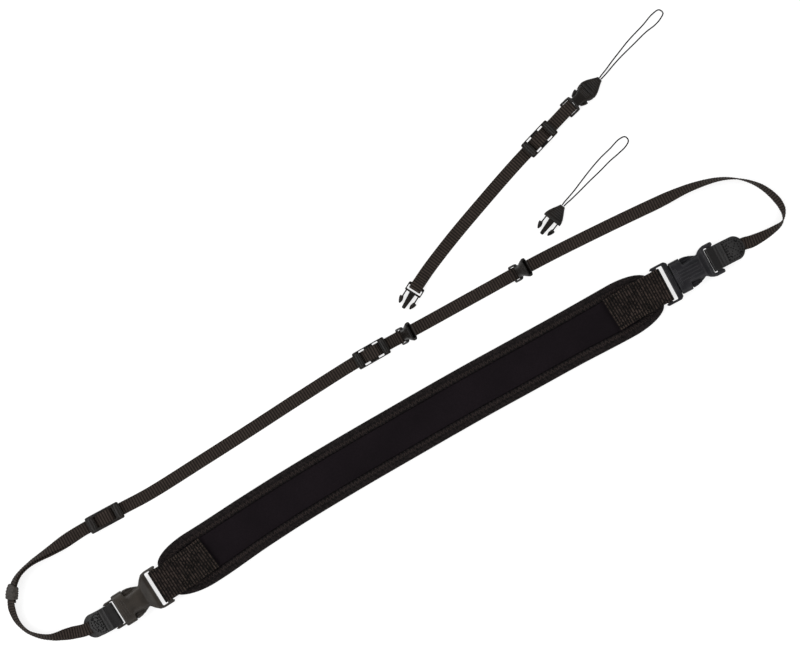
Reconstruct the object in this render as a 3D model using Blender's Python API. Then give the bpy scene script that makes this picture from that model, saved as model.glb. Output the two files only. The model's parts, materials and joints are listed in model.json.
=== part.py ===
"""Camera sling strap, laid out flat on a surface.

A bowed shoulder pad lies along X with its underside on Z = 0. A fastened side-release buckle is sewn to
each end of it, and narrow webbing closes the sling from one buckle to the other, through a length
slider, a ladder slider and two small sockets. A short tether with its own slider, plug and socket, and
two cord loops on plugs, lie beside it. All sizes are in metres.
"""

import math
from collections import namedtuple
from dataclasses import dataclass

import bmesh
import bpy
import numpy as np
from mathutils import Vector
from mathutils.geometry import tessellate_polygon

MM = 0.001

# Clearances
GAP = 0.3 * MM  # between two pieces that touch
FLOOR_GAP = 0.1 * MM  # under hard pieces that lie on the surface

# Shoulder pad
PAD_LENGTH = 443.0 * MM
PAD_WIDTH = 43.6 * MM
PAD_FLARE = 1.8 * MM  # how much wider the pad is near its ends
PAD_BOW = 6.5 * MM  # how far the pad's middle line leaves the X axis
PAD_THICKNESS = 6.0 * MM
PAD_EDGE_DROP = 0.8 * MM  # how far the taped edge lies below the top of the panel
PAD_CORNER = 32.0 * MM  # length of the rounded corners, along the pad
PAD_END_STRAIGHT = 0.5  # share of the half width that is cut square at each end
BINDING_WIDTH = 8.6 * MM
BINDING_THICKNESS = 1.0 * MM
BINDING_ROUND = 2.4 * MM  # how far the tape's rounded edge reaches over the pad

# Wide webbing that joins the pad to its buckles
PAD_WEB_WIDTH = 27.4 * MM
PAD_WEB_THICKNESS = 1.4 * MM
PAD_TAB_LENGTH = 45.5 * MM  # from the buckle's bar to the hem on the pad
PAD_TAB_SLOPE = math.radians(40)  # how steeply the lower layer climbs onto the pad

# Leather-look tabs at the outer ends of the buckles
END_TAB_WIDTH = 19.2 * MM
END_TAB_THICKNESS = 1.3 * MM
END_TAB_LENGTH = 25.6 * MM  # from the buckle's bar to the round end of the longer layer
END_TAB_STEP = 5.0 * MM  # how much shorter the other layer is

# Narrow webbing
WEB_WIDTH = 10.0 * MM
WEB_THICKNESS = 1.2 * MM
WEB_PLAY = 1.0 * MM  # webbing width left free inside each piece of hardware

# Side-release buckles on the pad
BUCKLE_THICKNESS = 11.6 * MM
BUCKLE_WALL = 2.2 * MM
BUCKLE_MOUTH_WIDTH = 26.8 * MM
BUCKLE_SIDE_WALL = 1.6 * MM
BUCKLE_MOUTH_LENGTH = 9.2 * MM
BUCKLE_WINDOW_LENGTH = 14.2 * MM
BUCKLE_WAIST_WIDTH = 18.8 * MM
BUCKLE_FRAME_THICKNESS = 4.2 * MM
BUCKLE_BAR_WIDTH = 4.2 * MM
BUCKLE_FRAME_WIDTH = 32.8 * MM  # where a buckle holds the wide webbing
SOCKET_FRAME_WIDTH = 26.6 * MM  # where the right buckle's socket holds its leather-look tab
PAD_SLOT_OPEN = 3.0 * MM  # open part of the slots that hold the wide webbing
TAB_SLOT_OPEN = 1.2 * MM  # open part of the slots that hold the leather-look tabs
LEFT_NECK = 8.2 * MM
RIGHT_NECK = 6.4 * MM
LEFT_PLUG_BASE = 3.4 * MM
RIGHT_PLUG_BASE = 4.5 * MM
LEFT_BUCKLE_TURN = math.radians(1.35)
RIGHT_BUCKLE_TURN = math.radians(-2.9)
LEFT_BUCKLE_OFFSET = -5.5 * MM
RIGHT_BUCKLE_OFFSET = -5.7 * MM

# Small connectors: sockets, the tether's plug and the cord-loop plugs
SOCKET_THICKNESS = 5.0 * MM
SOCKET_WALL = 0.85 * MM
SOCKET_MOUTH_WIDTH = 15.6 * MM
SOCKET_WAIST_WIDTH = 7.8 * MM
SOCKET_MOUTH_LENGTH = 5.8 * MM
SOCKET_WINDOW_LENGTH = 7.0 * MM
SOCKET_CROSSBAR = 2.0 * MM
SOCKET_OPENING = 6.0 * MM  # between the crossbar and the outer bar
CONNECTOR_BAR = 1.8 * MM  # width and thickness of the outer bars
CONNECTOR_ARM = 0.95 * MM
SOCKET_RAMP = 5.6 * MM  # webbing that climbs onto the bar of a tipped socket
PLUG_THICKNESS = 2.4 * MM
PLUG_BAR = 2.4 * MM
PLUG_FOLD_SLACK = 0.9 * MM  # how loosely the webbing is folded round that bar
PLUG_BASE = 1.5 * MM
PLUG_SLOT_OPEN = 1.3 * MM
PLUG_REACH = 13.8 * MM  # from the shoulder to the tip of the guide
LOOP_PLUG_BODY = 14.2 * MM
LOOP_PLUG_THICKNESS = 4.4 * MM
LOOP_PLUG_TIP_WIDTH = 4.4 * MM

# Sliders
SLIDER_PLATE = 2.4 * MM  # thickness of the frames
SLIDER_BAR = 1.5 * MM  # thickness of the centre bars
LENGTH_SLIDER_LENGTH = 29.0 * MM
LENGTH_SLIDER_RAIL = 1.4 * MM
LENGTH_SLIDER_END = 6.2 * MM
LENGTH_SLIDER_CENTRE = 8.2 * MM
LADDER_LENGTH = 28.0 * MM
LADDER_RAIL = 0.9 * MM
LADDER_SLIT = 1.2 * MM  # open slit on each side of the webbing
LADDER_END = 5.6 * MM
LADDER_CENTRE = 7.4 * MM

# Keeper ring
KEEPER_LENGTH = 11.0 * MM
KEEPER_WALL = 0.9 * MM

# Layout of the narrow webbing, of the tether and of the spare loop
LOOP_RISE = 66.0 * MM  # from the pad's axis to the webbing that runs beside it
TAIL_SLIP = 1.1 * MM  # how far the tail hangs out sideways from under the webbing
TAIL_SPREAD = 0.3  # extra gap under the webbing there, as a share of the slip
LEFT_TAB_SWAY = 2.0 * MM
RIGHT_TAB_SWAY = -0.6 * MM
LEFT_PAD_TAB_SWAY = 2.0 * MM
RIGHT_PAD_TAB_SWAY = 1.7 * MM
TETHER_START = (63.1 * MM, 92.0 * MM)  # centre of the tether plug's bar
TETHER_SPAN = 180.0 * MM  # straight distance from that bar to the tether socket's bar
TETHER_HEADING = math.radians(18.8)
TETHER_BOW = 3.4 * MM
TETHER_PLUG_HEADING = math.radians(27.0)
TETHER_SOCKET_HEADING = math.radians(12.5)
TETHER_HEM = 12.5 * MM  # length of the sewn layer behind the plug's bar
SPARE_PLUG_SHOULDER = (180.0 * MM, 82.4 * MM)
SPARE_PLUG_HEADING = math.radians(21.4)
CORD_DIAMETER = 1.0 * MM
CORD_POINTS = 36

# Pad stations. along: share of half the pad's length. bow: share of PAD_BOW that the middle line lies
# to the left of the X axis. flare: share of PAD_FLARE that is added to the width.
PadStation = namedtuple("PadStation", "along bow flare")
PAD_STATIONS = (
    PadStation(-1.00, -0.50, 1.0),
    PadStation(-0.82, -0.44, 1.0),
    PadStation(-0.64, -0.11, 0.3),
    PadStation(-0.46, 0.08, 0.0),
    PadStation(-0.27, 0.11, 0.0),
    PadStation(0.00, 0.00, 0.0),
    PadStation(0.27, -0.18, 0.0),
    PadStation(0.46, -0.41, 0.0),
    PadStation(0.64, -0.62, 0.0),
    PadStation(0.82, -0.86, 0.7),
    PadStation(1.00, -1.00, 1.0),
)

# Plan of the sling webbing between its two tabs. along: share of half the distance between the tabs'
# round ends, from the middle. across: share of LOOP_RISE.
WebPoint = namedtuple("WebPoint", "along across")
SLING_ROUTE = (
    WebPoint(-1.029, -0.037),
    WebPoint(-1.053, -0.000),
    WebPoint(-1.078, 0.040),
    WebPoint(-1.100, 0.101),
    WebPoint(-1.117, 0.174),
    WebPoint(-1.131, 0.266),
    WebPoint(-1.139, 0.416),
    WebPoint(-1.135, 0.563),
    WebPoint(-1.122, 0.690),
    WebPoint(-1.103, 0.800),
    WebPoint(-1.077, 0.884),
    WebPoint(-1.036, 0.936),
    WebPoint(-0.972, 0.950),
    WebPoint(-0.881, 0.951),
    WebPoint(-0.803, 0.942),
    WebPoint(-0.751, 0.929),
    WebPoint(-0.672, 0.912),
    WebPoint(-0.517, 0.928),
    WebPoint(-0.360, 0.950),
    WebPoint(-0.203, 0.977),
    WebPoint(-0.028, 0.997),
    WebPoint(0.063, 0.989),
    WebPoint(0.166, 0.971),
    WebPoint(0.343, 0.945),
    WebPoint(0.522, 0.916),
    WebPoint(0.699, 0.857),
    WebPoint(0.846, 0.795),
    WebPoint(0.961, 0.739),
    WebPoint(1.039, 0.637),
    WebPoint(1.083, 0.506),
    WebPoint(1.117, 0.312),
    WebPoint(1.134, 0.079),
    WebPoint(1.132, -0.061),
    WebPoint(1.117, -0.159),
    WebPoint(1.080, -0.188),
    WebPoint(1.022, -0.175),
)

# How far the sling webbing is tipped about its own length, with its left edge down. share: of its
# length. degrees: 90 stands it on edge.
RollPoint = namedtuple("RollPoint", "share degrees")
SLING_ROLL = (
    RollPoint(0.000, 0),
    RollPoint(0.024, 0),
    RollPoint(0.030, 18),
    RollPoint(0.037, 41),
    RollPoint(0.046, 60),
    RollPoint(0.055, 66),
    RollPoint(0.065, 72),
    RollPoint(0.074, 69),
    RollPoint(0.083, 60),
    RollPoint(0.093, 52),
    RollPoint(0.108, 57),
    RollPoint(0.118, 67),
    RollPoint(0.129, 79),
    RollPoint(0.138, 81),
    RollPoint(0.148, 75),
    RollPoint(0.157, 65),
    RollPoint(0.166, 52),
    RollPoint(0.175, 34),
    RollPoint(0.185, 14),
    RollPoint(0.195, 0),
    RollPoint(0.770, 0),
    RollPoint(0.800, 8),
    RollPoint(0.811, 20),
    RollPoint(0.820, 34),
    RollPoint(0.829, 45),
    RollPoint(0.838, 53),
    RollPoint(0.848, 61),
    RollPoint(0.858, 69),
    RollPoint(0.867, 76),
    RollPoint(0.877, 84),
    RollPoint(0.886, 90),
    RollPoint(0.896, 98),
    RollPoint(0.905, 107),
    RollPoint(0.915, 114),
    RollPoint(0.924, 118),
    RollPoint(0.933, 110),
    RollPoint(0.942, 88),
    RollPoint(0.952, 65),
    RollPoint(0.962, 49),
    RollPoint(0.971, 33),
    RollPoint(0.978, 15),
    RollPoint(0.984, 0),
    RollPoint(1.000, 0),
)

# Where the hardware sits, as shares of the sling webbing's length
KEEPER_STATION = 0.1085
LENGTH_SLIDER_STATION = 0.2210
SLING_LADDER_STATION = 0.5080
# The bars of the two threaded sockets, and how many degrees the webbing tips them up.
TippedSocket = namedtuple("TippedSocket", "station pitch")
TIPPED_SOCKETS = (TippedSocket(0.5378, 62), TippedSocket(0.6560, 56))

# Plan of the tether. along: share of TETHER_SPAN. across: share of TETHER_BOW.
TetherPoint = namedtuple("TetherPoint", "along across")
TETHER_ROUTE = (
    TetherPoint(0.000, 0.00),
    TetherPoint(0.095, 0.53),
    TetherPoint(0.210, 0.86),
    TetherPoint(0.310, 1.00),
    TetherPoint(0.410, 1.02),
    TetherPoint(0.510, 1.00),
    TetherPoint(0.610, 0.95),
    TetherPoint(0.710, 0.80),
    TetherPoint(0.830, 0.46),
    TetherPoint(0.920, 0.22),
    TetherPoint(1.000, 0.00),
)
TETHER_LADDER_STATION = 0.831

# Cord routes, from the middle of the plug's end, in metres: along the plug's axis, to its left, and
# the height of the cord's middle as a share of the way from the surface up to the plug's axis.
CordPoint = namedtuple("CordPoint", "along left rise")
LOOP_CORD_ROUTE = (
    CordPoint(0.0004, 0.0008, 1.0),
    CordPoint(0.0030, 0.0013, 0.8),
    CordPoint(0.0086, 0.0021, 0.3),
    CordPoint(0.0150, 0.0033, 0.0),
    CordPoint(0.0239, 0.0047, 0.0),
    CordPoint(0.0376, 0.0066, 0.0),
    CordPoint(0.0531, 0.0075, 0.0),
    CordPoint(0.0641, 0.0087, 0.0),
    CordPoint(0.0705, 0.0076, 0.0),
    CordPoint(0.0712, 0.0037, 0.0),
    CordPoint(0.0665, 0.0017, 0.0),
    CordPoint(0.0601, 0.0011, 0.0),
    CordPoint(0.0512, 0.0019, 0.0),
    CordPoint(0.0377, 0.0016, 0.0),
    CordPoint(0.0241, 0.0013, 0.0),
    CordPoint(0.0150, 0.0006, 0.0),
    CordPoint(0.0086, -0.0002, 0.3),
    CordPoint(0.0030, -0.0007, 0.8),
    CordPoint(0.0004, -0.0008, 1.0),
)
SPARE_CORD_ROUTE = (
    CordPoint(0.0004, 0.0008, 1.0),
    CordPoint(0.0030, 0.0009, 0.8),
    CordPoint(0.0086, 0.0006, 0.3),
    CordPoint(0.0150, 0.0003, 0.0),
    CordPoint(0.0230, 0.0004, 0.0),
    CordPoint(0.0352, 0.0004, 0.0),
    CordPoint(0.0472, -0.0002, 0.0),
    CordPoint(0.0580, -0.0017, 0.0),
    CordPoint(0.0680, -0.0028, 0.0),
    CordPoint(0.0725, -0.0053, 0.0),
    CordPoint(0.0718, -0.0091, 0.0),
    CordPoint(0.0672, -0.0103, 0.0),
    CordPoint(0.0585, -0.0092, 0.0),
    CordPoint(0.0505, -0.0076, 0.0),
    CordPoint(0.0394, -0.0063, 0.0),
    CordPoint(0.0287, -0.0047, 0.0),
    CordPoint(0.0180, -0.0034, 0.0),
    CordPoint(0.0086, -0.0021, 0.3),
    CordPoint(0.0030, -0.0011, 0.8),
    CordPoint(0.0004, -0.0008, 1.0),
)


@dataclass(frozen=True)
class Place:
    """A point on the plan with the direction that a piece's own X axis points in."""

    x: float
    y: float
    heading: float

    def point(self, along, left=0.0):
        """The plan point, or points, at these distances along the heading and to its left."""
        cos, sin = math.cos(self.heading), math.sin(self.heading)
        return np.stack([self.x + along * cos - left * sin, self.y + along * sin + left * cos], -1)

    def ahead(self, along, left=0.0):
        """The same heading at another point."""
        x, y = self.point(along, left)
        return Place(float(x), float(y), self.heading)

    def reversed(self):
        return Place(self.x, self.y, self.heading + math.pi)


def finish_material(name, colour, roughness, metallic=0.0):
    material = bpy.data.materials.new(name)
    material.use_nodes = True
    shader = material.node_tree.nodes["Principled BSDF"]
    shader.inputs["Base Color"].default_value = (*colour, 1.0)
    shader.inputs["Roughness"].default_value = roughness
    shader.inputs["Metallic"].default_value = metallic
    return material


def make_object(name, points, faces, material, smooth=True, triangles=False):
    """One mesh object with its faces turned outwards, and split into triangles where it is to be cut."""
    mesh = bpy.data.meshes.new(name)
    mesh.from_pydata([tuple(p) for p in points], [], [tuple(f) for f in faces])
    work = bmesh.new()
    work.from_mesh(mesh)
    bmesh.ops.recalc_face_normals(work, faces=work.faces)
    if triangles:
        bmesh.ops.triangulate(work, faces=work.faces)
    work.to_mesh(mesh)
    work.free()
    if smooth:
        mesh.shade_smooth()
        mesh.set_sharp_from_angle(angle=math.radians(35))
    if material is not None:
        mesh.materials.append(material)
    obj = bpy.data.objects.new(name, mesh)
    bpy.context.scene.collection.objects.link(obj)
    return obj


def put(obj, place, height=0.0, pitch=0.0):
    """Stands a piece that was made round its own origin at its place on the plan."""
    obj.location = (place.x, place.y, height)
    obj.rotation_euler = (0.0, -pitch, place.heading)
    return obj


def loft(name, rings, material, closed=False, triangles=False, order=None):
    """A skin over rings of equally many points, capped at both ends unless the rings form a loop. order
    holds a number for each ring and one for each point of a ring. Where it is given, every quad is
    split from its lowest corner to its highest, so that skins side by side stay parallel."""
    rings = np.asarray(rings)
    count, size = rings.shape[:2]
    faces = []
    for i in range(count if closed else count - 1):
        n = (i + 1) % count
        for j in range(size):
            k = (j + 1) % size
            quad = [i * size + j, i * size + k, n * size + k, n * size + j]
            if order is None:
                faces.append(quad)
                continue
            if (order[0][i] < order[0][n]) != (order[1][j] < order[1][k]):
                quad = quad[1:] + quad[:1]
            faces += [(quad[0], quad[1], quad[2]), (quad[0], quad[2], quad[3])]
    if not closed:
        faces.append(tuple(range(size)))
        faces.append(tuple(range((count - 1) * size, count * size)))
    return make_object(name, rings.reshape(-1, 3), faces, material, triangles=triangles)


def hermite(x, xs, ys):
    """A smooth curve through the knots (xs, ys), read at x. Slopes come from each knot's neighbours."""
    xs, ys = np.asarray(xs, float), np.asarray(ys, float)
    slopes = np.gradient(ys, xs, axis=0)
    x = np.clip(x, xs[0], xs[-1])
    i = np.clip(np.searchsorted(xs, x, side="right") - 1, 0, len(xs) - 2)
    width = xs[i + 1] - xs[i]
    t = (x - xs[i]) / width
    if ys.ndim > 1:
        t, width = t[:, None], width[:, None]
    return (
        ys[i] * (1 + 2 * t) * (1 - t) ** 2
        + slopes[i] * width * t * (1 - t) ** 2
        + ys[i + 1] * t * t * (3 - 2 * t)
        + slopes[i + 1] * width * t * t * (t - 1)
    )


def eased(x, knots):
    """Height that goes from knot to knot in S-shaped ramps, level at every knot."""
    xs, ys = np.array(knots, float).T
    x = np.clip(x, xs[0], xs[-1])
    i = np.clip(np.searchsorted(xs, x, side="right") - 1, 0, len(xs) - 2)
    t = (x - xs[i]) / (xs[i + 1] - xs[i])
    return ys[i] + (ys[i + 1] - ys[i]) * t * t * (3 - 2 * t)


class Route:
    """A smooth plan curve through points, measured along its length."""

    def __init__(self, points, per_span=24):
        points = np.asarray(points, float)
        chord = np.hypot(*np.diff(points, axis=0).T) ** 0.5
        knots = np.concatenate([[0.0], np.cumsum(chord)])
        fine = np.concatenate(
            [np.linspace(a, b, per_span, endpoint=False) for a, b in zip(knots, knots[1:])] + [knots[-1:]]
        )
        self.plan = hermite(fine, knots, points)
        self.along = np.concatenate([[0.0], np.cumsum(np.hypot(*np.diff(self.plan, axis=0).T))])
        self.length = self.along[-1]

    def at(self, s):
        """Plan points at these distances from the start."""
        return np.stack([np.interp(s, self.along, self.plan[:, k]) for k in (0, 1)], -1)

    def headings(self, s, reach=0.4 * MM):
        ends = self.at(np.clip(s + reach, 0, self.length)) - self.at(np.clip(s - reach, 0, self.length))
        return np.arctan2(ends[..., 1], ends[..., 0])

    def place(self, s, half_length):
        """Where a piece sits whose two ends are threaded on the route."""
        back, front = self.at(np.array([s - half_length, s + half_length]))
        middle = (back + front) / 2
        return Place(*map(float, middle), math.atan2(front[1] - back[1], front[0] - back[0]))


def sweep_strip(name, centres, sides, width, thickness, material):
    """Webbing carried along a path. sides points from each centre to the strip's left edge."""
    ahead = np.gradient(centres, axis=0)
    ahead /= np.linalg.norm(ahead, axis=1)[:, None]
    up = np.cross(ahead, sides)
    up /= np.linalg.norm(up, axis=1)[:, None]
    half = np.broadcast_to(np.asarray(width) / 2, len(centres))[:, None]
    edge = np.minimum(0.4 * thickness, 0.4 * half)
    section = ((-1, 0), (-1, -1), (1, -1), (1, 0), (1, 1), (-1, 1))
    rings = []
    for side, level in section:
        across = side * (half - (edge if level else 0))
        rings.append(centres + sides * across + up * (level * thickness / 2))
    order = (range(len(centres)), [side for side, _ in section])
    return loft(name, np.stack(rings, 1), material, order=order)


def plan_sides(headings, roll=0.0):
    """Unit vectors to the left of each heading, with the left edge tipped down by roll."""
    return np.stack(
        [-np.sin(headings) * np.cos(roll), np.cos(headings) * np.cos(roll), -np.sin(roll) + 0 * headings], -1
    )


def offset_outline(outline, distance):
    """The outline moved inwards, for a counter-clockwise outline, with each corner kept a corner."""
    before = outline - np.roll(outline, 1, axis=0)
    after = np.roll(outline, -1, axis=0) - outline
    before /= np.linalg.norm(before, axis=1)[:, None]
    after /= np.linalg.norm(after, axis=1)[:, None]
    inward = np.stack([-(before + after)[:, 1], (before + after)[:, 0]], -1)
    normal = np.stack([-after[:, 1], after[:, 0]], -1)
    scale = np.maximum(np.sum(inward * normal, axis=1), 0.5)
    return outline + inward * (distance / scale)[:, None]


def plate(name, outline, holes, thickness, chamfer, material, middle=0.0):
    """A flat plate with chamfered edges. The outline runs counter-clockwise and the holes clockwise."""
    loops = [np.asarray(outline, float)] + [np.asarray(hole, float) for hole in holes]
    half = thickness / 2
    levels = ((-half, chamfer), (chamfer - half, 0.0), (half - chamfer, 0.0), (half, chamfer))
    points, faces, flat = [], [], [[], []]
    for loop in loops:
        size, start = len(loop), len(points)
        for z, inset in levels:
            ring = offset_outline(loop, inset) if inset else loop
            points += [(x, y, z + middle) for x, y in ring]
        for level in range(len(levels) - 1):
            here = start + level * size
            for j in range(size):
                k = (j + 1) % size
                faces.append((here + j, here + k, here + size + k, here + size + j))
        flat[0].append(list(range(start, start + size)))
        flat[1].append(list(range(start + 3 * size, start + 4 * size)))
    for cap in flat:
        order = [index for loop in cap for index in loop]
        corners = [[Vector((*points[index][:2], 0.0)) for index in loop] for loop in cap]
        faces += [tuple(order[i] for i in face) for face in tessellate_polygon(corners)]
    return make_object(name, points, faces, material, smooth=False)


def cutter_box(name, low, high):
    """A hidden box that a Boolean takes away."""
    corners = [(x, y, z) for x in (low[0], high[0]) for y in (low[1], high[1]) for z in (low[2], high[2])]
    faces = ((0, 1, 3, 2), (4, 6, 7, 5), (0, 4, 5, 1), (2, 3, 7, 6), (0, 2, 6, 4), (1, 5, 7, 3))
    box = make_object(name, corners, faces, None, smooth=False)
    box.hide_render = True
    box.display_type = "WIRE"
    return box


def combine(obj, others, operation):
    """Cuts hidden helpers from a piece, or joins them to it, all in the piece's own frame."""
    for other in others:
        other.parent = obj
        other.hide_render = True
        other.display_type = "WIRE"
        step = obj.modifiers.new(other.name, "BOOLEAN")
        step.operation = operation
        step.solver = "EXACT"
        step.object = other
    return obj


def mirrored(half):
    """A closed counter-clockwise outline from its upper half, which runs from low X to high X."""
    half = np.asarray(half, float)
    lower = half * (1, -1)
    return np.concatenate([lower, half[::-1]])


def rounded_section(half_width, half_height, sides=12, fullness=4.0):
    """A rounded cross-section: |y/w|^n + |z/h|^n = 1."""
    turn = (np.arange(sides) + 0.5) * 2 * math.pi / sides
    y = half_width * np.sign(np.cos(turn)) * np.abs(np.cos(turn)) ** (2 / fullness)
    z = half_height * np.sign(np.sin(turn)) * np.abs(np.sin(turn)) ** (2 / fullness)
    return y, z


def loft_sections(name, sections, material):
    """A body lofted along its own X axis through (x, half width, half height) sections."""
    rings = []
    for x, half_width, half_height in sections:
        y, z = rounded_section(half_width, half_height)
        rings.append(np.stack([np.full_like(y, x), y, z], -1))
    return loft(name, rings, material, triangles=True)


def pad_middle(x):
    """Where the pad's middle line lies, to the left of the X axis."""
    table = np.array(PAD_STATIONS)
    return hermite(x / (PAD_LENGTH / 2), table[:, 0], table[:, 1] * PAD_BOW)


def pad_half_width(x):
    table = np.array(PAD_STATIONS)
    return (PAD_WIDTH + hermite(x / (PAD_LENGTH / 2), table[:, 0], table[:, 2] * PAD_FLARE)) / 2


def pad_outline(inset):
    """The pad's plan moved in by inset: long bowed edges, and quarter-ellipse corners that end square."""
    half_length = PAD_LENGTH / 2 - inset
    corner = PAD_CORNER - inset
    flank = np.linspace(-1, 1, 17) * (half_length - corner)
    turn = np.radians(np.linspace(0, 90, 7))[1:]
    reach = half_length - corner + corner * np.sin(turn)
    share = PAD_END_STRAIGHT + (1 - PAD_END_STRAIGHT) * np.cos(turn)
    x = np.concatenate([-reach[::-1], flank, reach])
    shrink = np.concatenate([share[::-1], np.ones(len(flank)), share])
    half = (pad_half_width(x) - inset) * shrink
    middle = pad_middle(x)
    lower = np.stack([x, middle - half], -1)
    upper = np.stack([x, middle + half], -1)
    return np.concatenate([lower, upper[::-1]])


def level_ring(outline, height):
    return np.column_stack([outline, np.full(len(outline), height)])


def build_pad(panel_finish, tape_finish):
    """The padded core, flat underneath and crowned on top, and the tape that wraps its edge."""
    edge_height = PAD_THICKNESS - PAD_EDGE_DROP
    tape_inner = BINDING_WIDTH + GAP
    wrap_inner = BINDING_THICKNESS + GAP
    crown_run = PAD_WIDTH / 2 - tape_inner
    core = (
        (tape_inner, 0.0),
        (tape_inner, wrap_inner),
        (wrap_inner, wrap_inner),
        (wrap_inner, edge_height - wrap_inner),
        (tape_inner, edge_height - wrap_inner),
        (tape_inner, edge_height - 0.2 * PAD_EDGE_DROP),
        (tape_inner + 0.12 * crown_run, edge_height + 0.55 * PAD_EDGE_DROP),
        (tape_inner + 0.45 * crown_run, PAD_THICKNESS),
    )
    loft("pad_core", [level_ring(pad_outline(inset), z) for inset, z in core], panel_finish)
    tape = (
        (BINDING_WIDTH, 0.0),
        (0.6 * BINDING_ROUND, 0.0),
        (0.0, 0.36 * edge_height),
        (0.12 * BINDING_ROUND, 0.70 * edge_height),
        (0.5 * BINDING_ROUND, 0.92 * edge_height),
        (BINDING_ROUND, edge_height),
        (BINDING_WIDTH, edge_height),
        (BINDING_WIDTH, edge_height - BINDING_THICKNESS),
        (BINDING_THICKNESS, edge_height - BINDING_THICKNESS),
        (BINDING_THICKNESS, BINDING_THICKNESS),
        (BINDING_WIDTH, BINDING_THICKNESS),
    )
    loft("pad_binding", [level_ring(pad_outline(inset), z) for inset, z in tape], tape_finish, closed=True)


def bar_wrap(reach, half_width, half_height, clear, last=270):
    """Path round a bar, in (outward, up) pairs from the bar's middle: over the corner at -reach, under
    it, and on round the corner at half_width as far as last, an angle in degrees. It keeps a distance
    of clear from the bar."""
    corners = (
        (-reach, half_height, 90, 180),
        (-reach, -half_height, 180, 270),
        (half_width, -half_height, 270, last),
    )
    arcs = []
    for outward, up, start, stop in corners:
        if stop > start:
            turn = np.radians(np.linspace(start, stop, 1 + math.ceil((stop - start) / 30)))
            arcs.append(np.stack([outward + clear * np.cos(turn), up + clear * np.sin(turn)], -1))
    return np.concatenate(arcs)


def fold_strip(name, bar, bar_height, path, width, thickness, sway, material):
    """A strip folded round a bar. path is (outward, up) pairs from the bar's middle, and the strip's
    far end is bent sideways by sway."""
    outward, up = np.asarray(path).T
    reach = outward.max()
    run = np.maximum(outward, 0.0)
    left = sway * (run / reach) ** 2
    plan = bar.point(outward, left)
    headings = bar.heading + np.arctan(2 * sway * run / reach**2)
    centres = np.column_stack([plan, bar_height + up])
    # The way back under the bar keeps the same left side, so the strip turns over and doesn't twist.
    return sweep_strip(name, centres, plan_sides(headings), width, thickness, material)


def resample(path, spacing):
    """The path with extra points, so that no step is longer than spacing."""
    path = np.asarray(path, float)
    out = [path[:1]]
    for a, b in zip(path, path[1:]):
        count = max(1, math.ceil(np.linalg.norm(b - a) / spacing))
        out.append(a + (b - a) * (np.arange(1, count + 1) / count)[:, None])
    return np.concatenate(out)


def pad_tab_path():
    """Both layers of the wide webbing: the upper one from the hem to the bar, round the bar, and the
    lower one up onto the pad. Also gives how far the pad's end lies from the bar."""
    clear = GAP + PAD_WEB_THICKNESS / 2
    half_width, half_height = BUCKLE_BAR_WIDTH / 2, BUCKLE_FRAME_THICKNESS / 2
    bar_height = BUCKLE_THICKNESS / 2 + FLOOR_GAP
    lower = PAD_THICKNESS + clear - bar_height
    upper = lower + PAD_WEB_THICKNESS + GAP
    wrap = bar_wrap(half_width, half_width, half_height, clear, 270 + math.degrees(PAD_TAB_SLOPE))
    join = wrap[-1, 0] + (lower - wrap[-1, 1]) / math.tan(PAD_TAB_SLOPE)
    outward = np.linspace(PAD_TAB_LENGTH, 0.0, 7)
    top = eased(outward, ((half_width, half_height + clear), (join + 6 * MM, upper)))
    layer_out = np.stack([outward, top], -1)
    layer_back = ((join, lower), (PAD_TAB_LENGTH - 1.5 * MM, lower))
    path = np.concatenate([layer_out, wrap, layer_back])
    return resample(path, 7 * MM), join


def build_pad_tab(name, bar, sway, material):
    path, _ = pad_tab_path()
    bar_height = BUCKLE_THICKNESS / 2 + FLOOR_GAP
    fold_strip(name, bar, bar_height, path, PAD_WEB_WIDTH, PAD_WEB_THICKNESS, sway, material)


def end_tab_middle(outward):
    """Height of the middle of a leather-look tab, from its buckle's bar down to where it lies."""
    high = BUCKLE_THICKNESS / 2 + FLOOR_GAP
    low = FLOOR_GAP + END_TAB_THICKNESS + GAP + WEB_THICKNESS / 2
    return eased(outward, ((0.1 * END_TAB_LENGTH, high), (END_TAB_LENGTH, low)))


def build_end_tab(name, bar, sway, long_layer_on_top, material):
    """A leather-look tab folded round a buckle's bar, with both layers rounded off at the end."""
    clear = GAP + END_TAB_THICKNESS / 2
    half_width, half_height = BUCKLE_BAR_WIDTH / 2, BUCKLE_FRAME_THICKNESS / 2
    apart = WEB_THICKNESS / 2 + 1.3 * GAP + END_TAB_THICKNESS / 2
    bar_height = BUCKLE_THICKNESS / 2 + FLOOR_GAP
    rounding = 0.42 * END_TAB_WIDTH
    lengths = [END_TAB_LENGTH, END_TAB_LENGTH - END_TAB_STEP]
    if not long_layer_on_top:
        lengths.reverse()
    tip_shares = np.array([1.0, 0.97, 0.9, 0.75, 0.5, 0.2])

    def layer(length, side):
        outward = np.concatenate([length - rounding * (1 - tip_shares), np.linspace(length - rounding, 0, 6)])
        spread = eased(outward, ((half_width, half_height + clear), (0.42 * END_TAB_LENGTH, apart)))
        return np.stack([outward, end_tab_middle(outward) - bar_height + side * spread], -1)

    upper, lower = layer(lengths[0], 1), layer(lengths[1], -1)[::-1]
    wrap = bar_wrap(half_width, half_width, half_height, clear)
    path = np.concatenate([upper, wrap, lower])
    taper = np.sqrt(np.maximum(1 - tip_shares**2 * 0.93, 0.0))
    width = np.ones(len(path))
    width[: len(taper)] = taper
    width[-len(taper) :] = taper[::-1]
    fold_strip(name, bar, bar_height, path, END_TAB_WIDTH * width, END_TAB_THICKNESS, sway, material)


def slot_reach(open_width, strap_thickness):
    """Full slot width: what stays open and the strap that fills the rest."""
    return open_width + strap_thickness + GAP


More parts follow.
